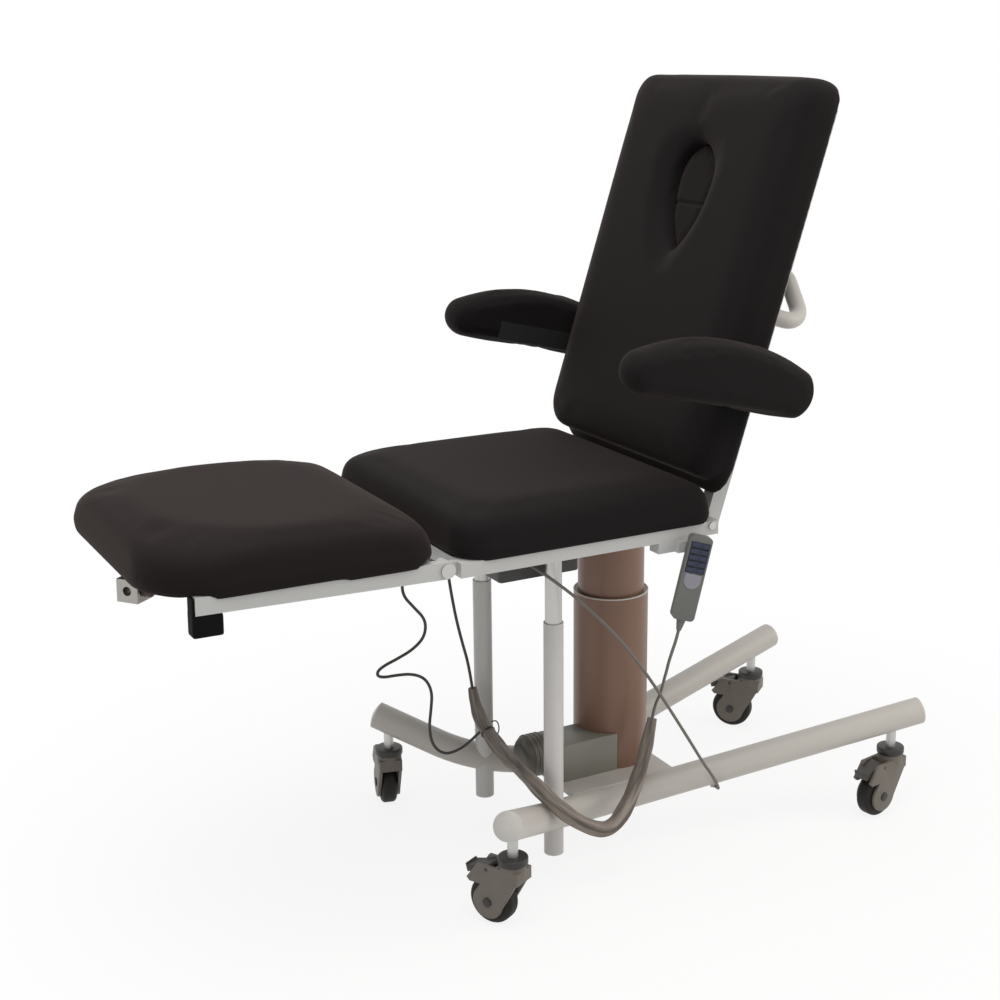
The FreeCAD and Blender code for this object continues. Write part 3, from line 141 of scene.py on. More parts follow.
def soft_lamp(name, place, size, watts, colour):
    """A rectangular area lamp that looks at the middle of the table."""
    lamp = bpy.data.lights.new(name, "AREA")
    lamp.shape = "RECTANGLE"
    lamp.size, lamp.size_y = size
    lamp.energy = watts
    lamp.color = linear(colour)[:3]
    holder = bpy.data.objects.new(name, lamp)
    holder.location = place
    holder.rotation_euler = (LAMPS_AIM_AT - Vector(place)).to_track_quat("-Z", "Y").to_euler()
    scene.collection.objects.link(holder)


soft_lamp("overhead_softbox", place=(-0.6, -0.7, 3.4), size=(2.6, 2.6), watts=62, colour="#fffdfa")
soft_lamp("right_softbox", place=(2.6, -2.0, 1.9), size=(1.6, 2.2), watts=30, colour="#fff8f0")
print("lamps:", [item.name for item in bpy.data.lights])


# %% Floor
def settle(name):
    """Name the primitive that was just added and bake its place and turn into its mesh."""
    piece = bpy.context.object
    piece.name = name
    bpy.ops.object.transform_apply(location=True, rotation=True, scale=True)
    return piece


bpy.ops.object.select_all(action="DESELECT")
bpy.ops.mesh.primitive_plane_add(size=14, location=(0, 0, 0))
floor = settle("studio_floor")
floor_paper, tree, shader = blank_material("matt_paper_sweep")
shader.inputs["Roughness"].default_value = 0.9
shader.inputs["Base Color"].default_value = linear("#f1f1ef")
place = add(tree, "ShaderNodeTexCoord")
away = add(tree, "ShaderNodeVectorMath", operation="LENGTH", links={0: place.outputs["Object"]})
# The shadow fades out between 0.5 m and 1.6 m from the column
fade = add(tree, "ShaderNodeMapRange", interpolation_type="SMOOTHSTEP",
           links={"Value": away.outputs["Value"]},
           values={"From Min": 0.5, "From Max": 1.6, "To Min": 0.86, "To Max": 1.0})
share = add(tree, "ShaderNodeMath", operation="MULTIPLY",
            links={0: white_where_seen(tree), 1: fade.outputs["Result"]})
glow = add(tree, "ShaderNodeEmission", values={"Color": (1, 1, 1, 1), "Strength": 1.0})
sheet_of_paper = add(tree, "ShaderNodeMixShader",
                     links={0: share.outputs[0], 1: shader.outputs[0], 2: glow.outputs[0]})
tree.links.new(sheet_of_paper.outputs[0], tree.nodes["Material Output"].inputs["Surface"])
floor.data.materials.append(floor_paper)
print("floor is", floor.dimensions.x, "m wide")

# %% [markdown]
# ## Finishes
# Each finish starts from the real one. A pattern's size is written in millimetres and turned into a scale,
# so that the same weave or grain has the same size on every piece.


# %% Pattern scale
def per_size(millimetres):
    """The scale that repeats a pattern once in this distance."""
    return 1000.0 / millimetres


print("a pattern of 5 mm has the scale", per_size(5))

# %% [markdown]
# The steel parts are powder coated. Baked powder has an even colour, a faint orange peel and a satin gloss.
# The peel could be sculpted, but it is finer than a pixel here, so a slight bump and an uneven gloss do.

# %% Powder coat
# Real orange peel is about 2 mm wide and is drawn 5 mm wide, so that it shows
PEEL_MM = 5
CLOUD_MM = 180


def powder_coat(name, code, rough, shade=0.06):
    """Baked powder on steel: an even colour, a faint orange peel and a satin gloss."""
    material, tree, shader = blank_material(name)
    place = add(tree, "ShaderNodeTexCoord")
    peel = add(tree, "ShaderNodeTexNoise", links={"Vector": place.outputs["Object"]},
               values={"Scale": per_size(PEEL_MM), "Detail": 3.0})
    cloud = add(tree, "ShaderNodeTexNoise", links={"Vector": place.outputs["Object"]},
                values={"Scale": per_size(CLOUD_MM), "Detail": 2.0})
    dull = [part * (1 - shade) for part in linear(code)[:3]] + [1.0]
    tone = add(tree, "ShaderNodeMix", data_type="RGBA", links={"Factor": cloud.outputs["Fac"]},
               values={"A": dull, "B": linear(code)})
    gloss = add(tree, "ShaderNodeMapRange", links={"Value": peel.outputs["Fac"]},
                values={"To Min": rough - 0.05, "To Max": rough + 0.07})
    skin = add(tree, "ShaderNodeBump", links={"Height": peel.outputs["Fac"]},
               values={"Strength": 0.06, "Distance": 0.0004})
    tree.links.new(tone.outputs["Result"], shader.inputs["Base Color"])
    tree.links.new(gloss.outputs["Result"], shader.inputs["Roughness"])
    tree.links.new(skin.outputs["Normal"], shader.inputs["Normal"])
    return material


# Cream powder on the base, paler and cooler on the frames, warm brown on the column, grey on the drive
cream_coat = powder_coat("cream_powder_coat", "#c3beb7", rough=0.42)
frame_coat = powder_coat("pale_grey_powder_coat", "#bfbfbd", rough=0.42)
# The guide tubes are the base's cream, cooler in hue and painted brighter: the extra brightness is painted
# light under the seat
guide_lit_coat = powder_coat("guide_lit_cream_enamel", "#d3d0cd", rough=0.38)
brown_coat = powder_coat("brown_powder_coat", "#82614f", rough=0.38, shade=0.12)
drive_coat = powder_coat("grey_drive_enamel", "#86847a", rough=0.50)
motor_coat = powder_coat("dark_motor_enamel", "#625e55", rough=0.46)
bracket_coat = powder_coat("black_bracket_enamel", "#1c1b1b", rough=0.50)
print("coats:", cream_coat.name, brown_coat.name, drive_coat.name)

# %% [markdown]
# Casters, housings, caps and keys are moulded from nylon, ABS or rubber. Their moulds are spark-eroded,
# which leaves a fine grain, and hands and shoes rub the gloss unevenly. Rubber reflects less than plastic,
# so its shine is lower.

# %% Moulded plastic and rubber
# The real grain of 0.1 mm would vanish at this size, so it is drawn 2 to 4 mm wide
FINE_MM, MEDIUM_MM, COARSE_MM = 2, 3, 4
WORN_MM, WORN_SHADE = 45, 0.10


def moulded(name, code, rough, grain=FINE_MM, depth=0.12, shine=0.5):
    """Moulded plastic or rubber: a fine spark-eroded grain and slightly uneven gloss."""
    material, tree, shader = blank_material(name)
    place = add(tree, "ShaderNodeTexCoord")
    grit = add(tree, "ShaderNodeTexNoise", links={"Vector": place.outputs["Object"]},
               values={"Scale": per_size(grain), "Detail": 4.0, "Roughness": 0.65})
    worn = add(tree, "ShaderNodeTexNoise", links={"Vector": place.outputs["Object"]},
               values={"Scale": per_size(WORN_MM), "Detail": 2.0})
    dark = [part * (1 - WORN_SHADE) for part in linear(code)[:3]] + [1.0]
    tone = add(tree, "ShaderNodeMix", data_type="RGBA", links={"Factor": worn.outputs["Fac"]},
               values={"A": dark, "B": linear(code)})
    gloss = add(tree, "ShaderNodeMapRange", links={"Value": worn.outputs["Fac"]},
                values={"To Min": rough - 0.06, "To Max": rough + 0.06})
    skin = add(tree, "ShaderNodeBump", links={"Height": grit.outputs["Fac"]},
               values={"Strength": depth, "Distance": 0.0005})
    tree.links.new(tone.outputs["Result"], shader.inputs["Base Color"])
    tree.links.new(gloss.outputs["Result"], shader.inputs["Roughness"])
    tree.links.new(skin.outputs["Normal"], shader.inputs["Normal"])
    shader.inputs["IOR"].default_value = 1.49
    shader.inputs["Specular IOR Level"].default_value = shine
    return material


fork_nylon = moulded("grey_caster_nylon", "#6e665d", rough=0.48)
pedal_nylon = moulded("dark_pedal_nylon", "#3a3834", rough=0.50)
collar_nylon = moulded("black_collar_nylon", "#2b2926", rough=0.42)
tyre_rubber = moulded("black_tyre_rubber", "#1c1917", rough=0.58, grain=MEDIUM_MM, shine=0.3)
foot_rubber = moulded("black_foot_rubber", "#060606", rough=0.70, grain=MEDIUM_MM, shine=0.12)
cap_plastic = moulded("cream_cap_plastic", "#cbc8c2", rough=0.36, grain=MEDIUM_MM, depth=0.05)
housing_abs = moulded("charcoal_housing_abs", "#3b3a39", rough=0.50)
handset_abs = moulded("grey_handset_abs", "#696966", rough=0.46)
key_rubber = moulded("navy_key_rubber", "#2a3046", rough=0.55)
label_film = moulded("lilac_grey_label_film", "#8d8b93", rough=0.38, depth=0.03)
knob_plastic = moulded("dark_red_knob_plastic", "#43261f", rough=0.42)
panel_laminate = moulded("black_board_laminate", "#141313", rough=0.66, grain=COARSE_MM, shine=0.25)
print("plastics:", fork_nylon.name, handset_abs.name, key_rubber.name)

# %% [markdown]
# Rods, stems and pins are bare steel, ground round their axis, and the clamp is cast zinc with the same dull
# shine. Both are full metals with fine lines, which a stretched noise gives without any mesh.

# %% Bare metal
# Lines 0.3 mm apart would vanish at this size, so they are drawn 1.5 mm apart
LINE_MM, LINE_LENGTH_MM = 1.5, 60


def bare_metal(name, code, rough):
    """Unpainted metal: grey, with fine lines across its length and an uneven gloss."""
    material, tree, shader = blank_material(name)
    place = add(tree, "ShaderNodeTexCoord")
    stretch = add(tree, "ShaderNodeMapping", links={"Vector": place.outputs["Object"]},
                  values={"Scale": (per_size(LINE_LENGTH_MM), per_size(LINE_LENGTH_MM), per_size(LINE_MM))})
    lines = add(tree, "ShaderNodeTexNoise", links={"Vector": stretch.outputs["Vector"]},
                values={"Scale": 1.0})
    gloss = add(tree, "ShaderNodeMapRange", links={"Value": lines.outputs["Fac"]},
                values={"To Min": rough - 0.06, "To Max": rough + 0.10})
    skin = add(tree, "ShaderNodeBump", links={"Height": lines.outputs["Fac"]},
               values={"Strength": 0.08, "Distance": 0.0002})
    tree.links.new(gloss.outputs["Result"], shader.inputs["Roughness"])
    tree.links.new(skin.outputs["Normal"], shader.inputs["Normal"])
    shader.inputs["Base Color"].default_value = linear(code)
    shader.inputs["Metallic"].default_value = 1.0
    return material


bright_steel = bare_metal("ground_bright_steel", "#c3c1be", rough=0.42)
cast_zinc = bare_metal("cast_zinc", "#a9a5a0", rough=0.36)
print("metals:", bright_steel.name, cast_zinc.name)

# %% [markdown]
# The upholstery is a fine black plain weave with a short nap. Its threads are too thin to show at this
# distance, so the weave is drawn as soft waves 19 mm apart and the nap as a noise of 9 mm. The nap also has
# a sheen: it lifts the colour of what faces away from the eye and makes the tops of the cushions look softer
# and browner than their sides.

# %% Woven upholstery
# A wave texture runs through 20 radians in one unit, so at scale 1 it repeats in this distance
WAVE_REPEAT = 2 * math.pi / 20
WEAVE_MM, NAP_MM, RUBBED_MM = 18.85, 9, 160


def woven_cloth(name, code, nap_code, sheen):
    """Matt woven cloth: black in its depth, a little browner where the nap catches the light."""
    material, tree, shader = blank_material(name)
    place = add(tree, "ShaderNodeTexCoord")
    wave_scale = per_size(WEAVE_MM) * WAVE_REPEAT
    threads = []
    for direction in ("X", "Y", "Z"):
        threads.append(add(tree, "ShaderNodeTexWave", wave_type="BANDS", bands_direction=direction,
                           links={"Vector": place.outputs["Object"]},
                           values={"Scale": wave_scale, "Distortion": 0.6, "Detail": 1.0}))
    cross = add(tree, "ShaderNodeMath", operation="MULTIPLY",
                links={0: threads[0].outputs["Fac"], 1: threads[1].outputs["Fac"]})
    weave = add(tree, "ShaderNodeMath", operation="ADD",
                links={0: cross.outputs[0], 1: threads[2].outputs["Fac"]})
    nap = add(tree, "ShaderNodeTexNoise", links={"Vector": place.outputs["Object"]},
              values={"Scale": per_size(NAP_MM), "Detail": 5.0, "Roughness": 0.6})
    rubbed = add(tree, "ShaderNodeTexNoise", links={"Vector": place.outputs["Object"]},
                 values={"Scale": per_size(RUBBED_MM), "Detail": 3.0})
    lay = add(tree, "ShaderNodeMix", data_type="FLOAT", values={"Factor": 0.35},
              links={"A": nap.outputs["Fac"], "B": rubbed.outputs["Fac"]})
    tone = add(tree, "ShaderNodeMix", data_type="RGBA", links={"Factor": lay.outputs["Result"]},
               values={"A": linear(code), "B": linear(nap_code)})
    relief = add(tree, "ShaderNodeMath", operation="MULTIPLY_ADD",
                 links={0: nap.outputs["Fac"], 2: weave.outputs[0]}, values={1: 0.8})
    skin = add(tree, "ShaderNodeBump", links={"Height": relief.outputs[0]},
               values={"Strength": 0.10, "Distance": 0.0005})
    tree.links.new(tone.outputs["Result"], shader.inputs["Base Color"])
    tree.links.new(skin.outputs["Normal"], shader.inputs["Normal"])
    shader.inputs["Roughness"].default_value = 0.82
    shader.inputs["Sheen Weight"].default_value = sheen
    shader.inputs["Sheen Roughness"].default_value = 0.45
    shader.inputs["Sheen Tint"].default_value = linear("#cfb1a9")
    shader.inputs["Specular IOR Level"].default_value = 0.15
    return material


black_cloth = woven_cloth("black_woven_upholstery", "#0d0c0c", "#141111", sheen=0.075)
# The leg rest's cloth is a paler, redder copy with more sheen, which paints brighter light on the leg rest
leg_lit_cloth = woven_cloth("leg_lit_woven_upholstery", "#120f0f", "#1b1414", sheen=0.10)
print("cloth:", black_cloth.name, leg_lit_cloth.name)

# %% [markdown]
# ## Finishes on the solids
# These solids already have the right shape, so they only get a finish. The others are replaced further down.

# %% Dress the solids
CORNERS = [f"{end}_{side}" for end in ("front", "rear") for side in ("left", "right")]
FINISHES = {
    cream_coat: ["base_tube_left", "base_tube_right", "column_foot_plate", "push_bar"],
    frame_coat: ["seat_frame", "leg_frame", "back_frame"],
    guide_lit_coat: ["guide_tubes"],
    cap_plastic: ["base_tube_end_caps"],
    bright_steel: ["guide_rods", "lift_push_rod", "caster_stems", "hinge_pins", "leg_actuator_rod",
                   "back_actuator_rod"],
    brown_coat: ["column_outer_tube", "column_inner_tube"],
    drive_coat: ["lift_actuator_tube"],
    motor_coat: ["lift_motor"],
    bracket_coat: ["armrest_bracket_left", "armrest_bracket_right"],
    panel_laminate: ["seat_board", "leg_board", "back_board"],
    housing_abs: ["leg_actuator", "back_actuator"],
    tyre_rubber: [f"caster_{corner}_wheel" for corner in CORNERS],
}


def dress(obj, material):
    """Give a whole object one finish."""
    obj.data.materials.clear()
    obj.data.materials.append(material)


for material, names in FINISHES.items():
    for name in names:
        dress(SOLIDS[name], material)
print("dressed:", sum(len(names) for names in FINISHES.values()), "solids")

# %% [markdown]
# ## Cables
# The drive cables are limp and hang between two fixed ends. Each starts as one NURBS curve that the points
# of its route lead, so it bends smoothly everywhere. It then becomes a mesh tube, which can be ridged or
# stretched. The thick one is a bundle in a taped sleeve.

# %% Cable routes in metres
SLEEVE_FRONT = (-0.262, 0.105, 0.312)
SLEEVE_REAR = (0.019, -0.130, 0.274)
ROUTES = {
    "cable_sleeve": [SLEEVE_FRONT, (-0.257, 0.100, 0.262), (-0.247, 0.062, 0.222), (-0.250, -0.020, 0.206),
                     (-0.262, -0.100, 0.214), (-0.268, -0.166, 0.212), (-0.250, -0.220, 0.184),
                     (-0.198, -0.237, 0.138), (-0.138, -0.228, 0.110), (-0.080, -0.200, 0.138),
                     (-0.012, -0.152, 0.204), SLEEVE_REAR],
    "leg_actuator_lead": [(-0.386, 0.033, 0.657), (-0.386, 0.050, 0.657), (-0.392, 0.066, 0.643),
                          (-0.406, 0.077, 0.616), (-0.420, 0.080, 0.582), (-0.422, 0.080, 0.546),
                          (-0.398, 0.080, 0.516), (-0.373, 0.080, 0.486), (-0.376, 0.080, 0.452),
                          (-0.402, 0.080, 0.430), (-0.436, 0.080, 0.417), (-0.462, 0.080, 0.409),
                          (-0.477, 0.081, 0.400), (-0.478, 0.082, 0.389), (-0.464, 0.083, 0.383),
                          (-0.438, 0.084, 0.382), (-0.402, 0.087, 0.377), (-0.372, 0.091, 0.360),
                          (-0.357, 0.093, 0.328), (-0.359, 0.096, 0.290), (-0.363, 0.099, 0.250),
                          (-0.356, 0.101, 0.210), (-0.332, 0.101, 0.184), (-0.304, 0.097, 0.186),
                          (-0.278, 0.089, 0.203), (-0.252, 0.078, 0.232)],
    "back_actuator_lead": [(-0.316, 0.100, 0.623), (-0.316, 0.100, 0.600), (-0.313, 0.100, 0.560),
                           (-0.305, 0.101, 0.510), (-0.295, 0.104, 0.462), (-0.281, 0.109, 0.412),
                           (-0.267, 0.110, 0.362), SLEEVE_FRONT],
    "handset_lead": [(-0.05045, -0.31766, 0.53186), (-0.05511, -0.31766, 0.51448), (-0.058, -0.309, 0.488),
                     (-0.052, -0.290, 0.461), (-0.035, -0.258, 0.428), (-0.014, -0.219, 0.394),
                     (0.008, -0.180, 0.358), (0.0235, -0.148, 0.327), (0.0283, -0.1234, 0.295),
                     SLEEVE_REAR],
    "earth_lead": [(-0.285, -0.112, 0.660), (-0.285, -0.132, 0.660), (-0.282, -0.160, 0.656),
                   (-0.270, -0.186, 0.646), (-0.250, -0.203, 0.629), (-0.212, -0.213, 0.596),
                   (-0.165, -0.216, 0.549), (-0.118, -0.220, 0.497), (-0.076, -0.225, 0.441),
                   (-0.036, -0.228, 0.381), (0.004, -0.229, 0.318), (0.044, -0.226, 0.256),
                   (0.084, -0.217, 0.196), (0.114, -0.206, 0.158), (0.133, -0.197, 0.131),
                   (0.145, -0.187, 0.114), (0.150, -0.176, 0.109), (0.152, -0.164, 0.109)],
}
THIN_LEADS = [name for name in ROUTES if name != "cable_sleeve"]
GREY_LEADS = ("handset_lead", "earth_lead")
LEAD_DIAMETER = 0.006
SLEEVE_DIAMETER = 0.030
dark_lead = moulded("black_lead_rubber", "#3a3633", rough=0.52)
grey_lead = moulded("grey_lead_rubber", "#6d6862", rough=0.52)
print("thin leads:", len(THIN_LEADS), "and one sleeve")

# %% Tube along a route
TUBE_SMOOTH = math.radians(50)


def alone(obj):
    """Make one object the only one that operators act on."""
    if bpy.context.object and bpy.context.object.mode != "OBJECT":
        bpy.ops.object.mode_set(mode="OBJECT")
    bpy.ops.object.select_all(action="DESELECT")
    obj.select_set(True)
    bpy.context.view_layer.objects.active = obj


def route_curve(name, points):
    """One open NURBS curve from end to end of a route, still without thickness."""
    curve = bpy.data.curves.new(name, "CURVE")
    curve.dimensions = "3D"
    curve.resolution_u = 10
    spline = curve.splines.new("NURBS")
    spline.points.add(len(points) - 1)
    for place, point in zip(spline.points, points):
        place.co = (*point, 1.0)
    spline.order_u = 3
    spline.use_endpoint_u = True
    piece = bpy.data.objects.new(name, curve)
    scene.collection.objects.link(piece)
    return piece


def route_tube(name, points, diameter, roundness):
    """Read a curve's line, then give the curve its thickness and make it an open mesh tube."""
    piece = route_curve(name, points)
    line = bpy.data.meshes.new_from_object(piece)
    path = [point.co.copy() for point in line.vertices]
    bpy.data.meshes.remove(line)
    piece.data.bevel_depth = diameter / 2
    piece.data.bevel_resolution = roundness
    alone(piece)
    bpy.ops.object.convert(target="MESH")
    return bpy.context.object, path


def close_ends(piece, material):
    """Close a tube's two ends, smooth it and give it its finish."""
    alone(piece)
    bpy.ops.object.mode_set(mode="EDIT")
    bpy.ops.mesh.select_all(action="SELECT")
    bpy.ops.mesh.fill_holes(sides=0)
    bpy.ops.object.mode_set(mode="OBJECT")
    bpy.ops.object.shade_smooth_by_angle(angle=TUBE_SMOOTH)
    dress(piece, material)


def declare_cable(name):
    """Hide the solid that a drawn cable stands in for."""
    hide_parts(name)


# %% [markdown]
# Each thin lead starts under the seat, which goes up and down, and ends on the base, which doesn't. The
# slack in a real lead takes up that travel.

# %% Draw the thin leads
for name in THIN_LEADS:
    points = ROUTES[name]
    lead, path = route_tube(f"{name}_run", points, LEAD_DIAMETER, roundness=6)
    close_ends(lead, grey_lead if name in GREY_LEADS else dark_lead)
    declare_cable(name)
    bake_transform(lead)
    print(lead.name, len(lead.data.polygons), "faces")

# %% [markdown]
# The thick cable is a handful of cables wound in cloth tape. The tape sinks in between them, so soft ridges
# wind slowly along the sleeve, and its two ends are drawn tight. The curve's line is read first. Then the
# curve gets its thickness and becomes a mesh, and each ring of points is pressed towards that line.

# %% Cloth tape
# Tape threads 0.5 mm apart would vanish at this size, so they are drawn 2.5 mm apart
TAPE_THREAD_MM = 2.5
STREAK_MM, STREAK_LENGTH_MM = 9, 110


def cloth_tape(name, code, shade_streak_code):
    """Matt cloth tape: streaks along the cables, the darker ones painted shade that stands in for the
    hollows between them.
    """
    material, tree, shader = blank_material(name)
    lay = add(tree, "ShaderNodeAttribute", attribute_name="pulled_straight")
    stretch = add(tree, "ShaderNodeMapping", links={"Vector": lay.outputs["Vector"]},
                  values={"Scale": (per_size(STREAK_MM), per_size(STREAK_MM), per_size(STREAK_LENGTH_MM))})
    streaks = add(tree, "ShaderNodeTexNoise", links={"Vector": stretch.outputs["Vector"]},
                  values={"Scale": 1.0, "Detail": 4.0, "Roughness": 0.6})
    threads = add(tree, "ShaderNodeTexNoise", links={"Vector": lay.outputs["Vector"]},
                  values={"Scale": per_size(TAPE_THREAD_MM), "Detail": 2.0})
    share = add(tree, "ShaderNodeMapRange", links={"Value": streaks.outputs["Fac"]},
                values={"From Min": 0.36, "From Max": 0.64})
    # The darker colour of the streaks is painted shade of the hollows between the cables
    tone = add(tree, "ShaderNodeMix", data_type="RGBA", links={"Factor": share.outputs["Result"]},
               values={"A": linear(shade_streak_code), "B": linear(code)})
    relief = add(tree, "ShaderNodeMath", operation="MULTIPLY_ADD",
                 links={0: threads.outputs["Fac"], 2: streaks.outputs["Fac"]}, values={1: 0.3})
    skin = add(tree, "ShaderNodeBump", links={"Height": relief.outputs[0]},
               values={"Strength": 0.5, "Distance": 0.0012})
    tree.links.new(tone.outputs["Result"], shader.inputs["Base Color"])
    tree.links.new(skin.outputs["Normal"], shader.inputs["Normal"])
    shader.inputs["Roughness"].default_value = 0.62
    shader.inputs["Specular IOR Level"].default_value = 0.3
    return material


# Grey tape, with a darker colour for its painted shade
sleeve_tape = cloth_tape("grey_cloth_tape", "#948a81", "#5c544d")
print("tape:", sleeve_tape.name)

# %% Ridged sleeve
CABLES = 4
WIND = 25.0
LUMPS = 90.0
MEAN_SHARE, RIDGE_SHARE, LUMP_SHARE = 0.93, 0.093, 0.04
END_REACH = 0.050
END_SHARE = 0.62
sleeve, path = route_tube("cable_sleeve_run", ROUTES["cable_sleeve"], SLEEVE_DIAMETER, roundness=10)
travelled = [0.0]
for before, after in zip(path, path[1:]):
    travelled.append(travelled[-1] + (after - before).length)
around = len(sleeve.data.vertices) // len(path)
straight = sleeve.data.attributes.new("pulled_straight", "FLOAT_VECTOR", "POINT")
for number, (centre, along) in enumerate(zip(path, travelled)):
    to_end = min(along, travelled[-1] - along)
    drawn_in = END_SHARE + (1.0 - END_SHARE) * min(1.0, to_end / END_REACH)
    for step in range(around):
        index = number * around + step
        angle = 2 * math.pi * step / around
        ridge = (MEAN_SHARE + RIDGE_SHARE * math.sin(CABLES * angle + WIND * along)
                 + LUMP_SHARE * math.sin(LUMPS * along + 2 * angle))
        point = sleeve.data.vertices[index]
        point.co = centre + (point.co - centre) * drawn_in * ridge
        straight.data[index].vector = (math.cos(angle) * SLEEVE_DIAMETER / 2,
                                       math.sin(angle) * SLEEVE_DIAMETER / 2, along)
close_ends(sleeve, sleeve_tape)
print("sleeve:", len(path), "rings of", around, "points,", round(travelled[-1], 3), "m")

# %% [markdown]
# A cable tie holds the leg rest's lead to the sleeve. It is a flat band, so a thin torus is stretched to
# twice its width. Its cut tail stands up and hooks over, as stiff nylon does, and is a short tube like the
# leads.

# %% Cable tie
TIE_AT = Vector((-0.247, 0.066, 0.224))
TIE_RADIUS, TIE_SECTION, TIE_STRETCH = 0.0146, 0.0011, 2.0
TIE_TAIL = [(-0.236, 0.056, 0.216), (-0.227, 0.058, 0.226), (-0.225, 0.062, 0.240), (-0.230, 0.066, 0.251),
            (-0.239, 0.068, 0.247)]
TIE_TAIL_DIAMETER = 0.0026
tie_ring = min(range(1, len(path) - 1), key=lambda number: (path[number] - TIE_AT).length)
heading = (path[tie_ring + 1] - path[tie_ring - 1]).to_track_quat("Z", "Y").to_matrix().to_4x4()
bpy.ops.object.select_all(action="DESELECT")
bpy.ops.mesh.primitive_torus_add(major_segments=48, minor_segments=10, major_radius=TIE_RADIUS,
                                 minor_radius=TIE_SECTION)
tie = settle("cable_tie")
bpy.ops.object.mode_set(mode="EDIT")
bpy.ops.mesh.select_all(action="SELECT")
bpy.ops.transform.resize(value=(1.0, 1.0, TIE_STRETCH))
bpy.ops.object.mode_set(mode="OBJECT")
tie.data.transform(Matrix.Translation(path[tie_ring]) @ heading)
tail, _ = route_tube("tie_tail", TIE_TAIL, TIE_TAIL_DIAMETER, roundness=3)
close_ends(tail, collar_nylon)
tie.select_set(True)
bpy.context.view_layer.objects.active = tie
bpy.ops.object.join()
bpy.ops.object.shade_smooth()
dress(tie, collar_nylon)
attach(tie, "base")
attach(sleeve, "base")
declare_cable("cable_sleeve")
print("tie at", [round(value, 3) for value in path[tie_ring]])

# %% [markdown]
# ## Cushions
# A foam pad in a sewn cover is swollen: its faces are crowned and its edges are drawn tight. Each pad starts
# as a copy of its solid, is remeshed evenly and is let go a little smaller. Cloth with air pressure inside
# then swells it, while the part that lies on its board is held still.

# %% Soft copy of a solid
WELD = 0.00002


def copy_of(node, name):
    """A new object with a welded copy of a solid's mesh."""
    piece = bpy.data.objects.new(name, SOLIDS[node].data.copy())
    scene.collection.objects.link(piece)
    alone(piece)
    bpy.ops.object.mode_set(mode="EDIT")
    bpy.ops.mesh.select_all(action="SELECT")
    bpy.ops.mesh.remove_doubles(threshold=WELD)
    bpy.ops.object.mode_set(mode="OBJECT")
    bpy.ops.mesh.customdata_custom_splitnormals_clear()
    piece.data.materials.clear()
    return piece


def modify(piece, kind, **settings):
    """Add a modifier, set it and apply it."""
    alone(piece)
    modifier = piece.modifiers.new(kind.lower(), kind)
    for name, value in settings.items():
        setattr(modifier, name, value)
    bpy.ops.object.modifier_apply(modifier=modifier.name)


print("points closer than", WELD, "m are welded")

# %% Swell a pad
SWELL_FRAMES = 20
SWELL_PRESSURE = 4.0


def swell(piece, held, most):
    """Blow the pad up with cloth pressure; held says which points stay, most caps how far one may go."""
    group = piece.vertex_groups.new(name="held")
    group.add([point.index for point in piece.data.vertices if held(point.co)], 1.0, "REPLACE")
    start = [point.co.copy() for point in piece.data.vertices]
    cloth = piece.modifiers.new("cover", "CLOTH")
    cloth.settings.quality = 4
    cloth.settings.mass = 0.3
    cloth.settings.use_pressure = True
    cloth.settings.uniform_pressure_force = SWELL_PRESSURE
    cloth.settings.effector_weights.gravity = 0.0
    cloth.settings.vertex_group_mass = "held"
    cloth.collision_settings.use_collision = False
    cloth.point_cache.frame_start = 1
    cloth.point_cache.frame_end = SWELL_FRAMES
    for number in range(1, SWELL_FRAMES + 1):
        scene.frame_set(number)
    grown = piece.evaluated_get(bpy.context.evaluated_depsgraph_get()).data
    ends = [point.co.copy() for point in grown.vertices]
    piece.modifiers.remove(cloth)
    for point, before, after in zip(piece.data.vertices, start, ends):
        move = after - before
        if move.length > most:
            move *= most / move.length
        point.co = before + move
    scene.frame_set(1)
    piece.vertex_groups.clear()


def pad(node, body, held, voxel, shrink, most, relaxed, cloth=black_cloth):
    """A solid's cushion, swollen and relaxed, in its place and in its cloth."""
    piece = copy_of(node, f"{node}_cover")
    modify(piece, "REMESH", mode="VOXEL", voxel_size=voxel, adaptivity=0.0)
    modify(piece, "DISPLACE", mid_level=0.0, strength=-shrink)
    modify(piece, "SMOOTH", factor=0.5, iterations=4)
    swell(piece, held, most)
    modify(piece, "SMOOTH", factor=0.5, iterations=relaxed)
    modify(piece, "SUBSURF", levels=1, render_levels=1)
    alone(piece)
    bpy.ops.object.shade_smooth()
    dress(piece, cloth)
    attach(piece, body)
    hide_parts(node)
    print(piece.name, len(piece.data.polygons), "faces", [round(side, 3) for side in piece.dimensions])
    return piece


print("a pad swells for", SWELL_FRAMES, "frames")

# %% Frames of the three sections
HINGE_HEIGHT = 0.710
LEG_HINGE, LEG_DROOP = -0.499, 1.5
BACK_HINGE, BACK_LEAN = 0.041, 72.0


def section_frame(hinge, angle):
    """A section's own axes at its hinge: along it, across it and out of its face."""
    return Matrix.Translation((hinge, 0.0, HINGE_HEIGHT)) @ Matrix.Rotation(math.radians(angle), 4, "Y")


SEAT = section_frame(0.0, 0.0)
LEG = section_frame(LEG_HINGE, LEG_DROOP)
BACK = section_frame(BACK_HINGE, -BACK_LEAN)


def lies_low(section, level):
    """A test for the points of a pad that lie under a level of its section's frame."""
    inverse = section.inverted()
    return lambda point: (inverse @ point).z < level


print("the back leans", BACK_LEAN, "degrees from the seat")

# %% The seat, leg and back pads
SEAT_HELD, LEG_HELD, BACK_HELD = 0.030, 0.036, 0.008
LARGE_PAD = {"voxel": 0.006, "shrink": 0.001, "most": 0.004, "relaxed": 14}
pad("seat_cushion", "lift", lies_low(SEAT, SEAT_HELD), **LARGE_PAD)
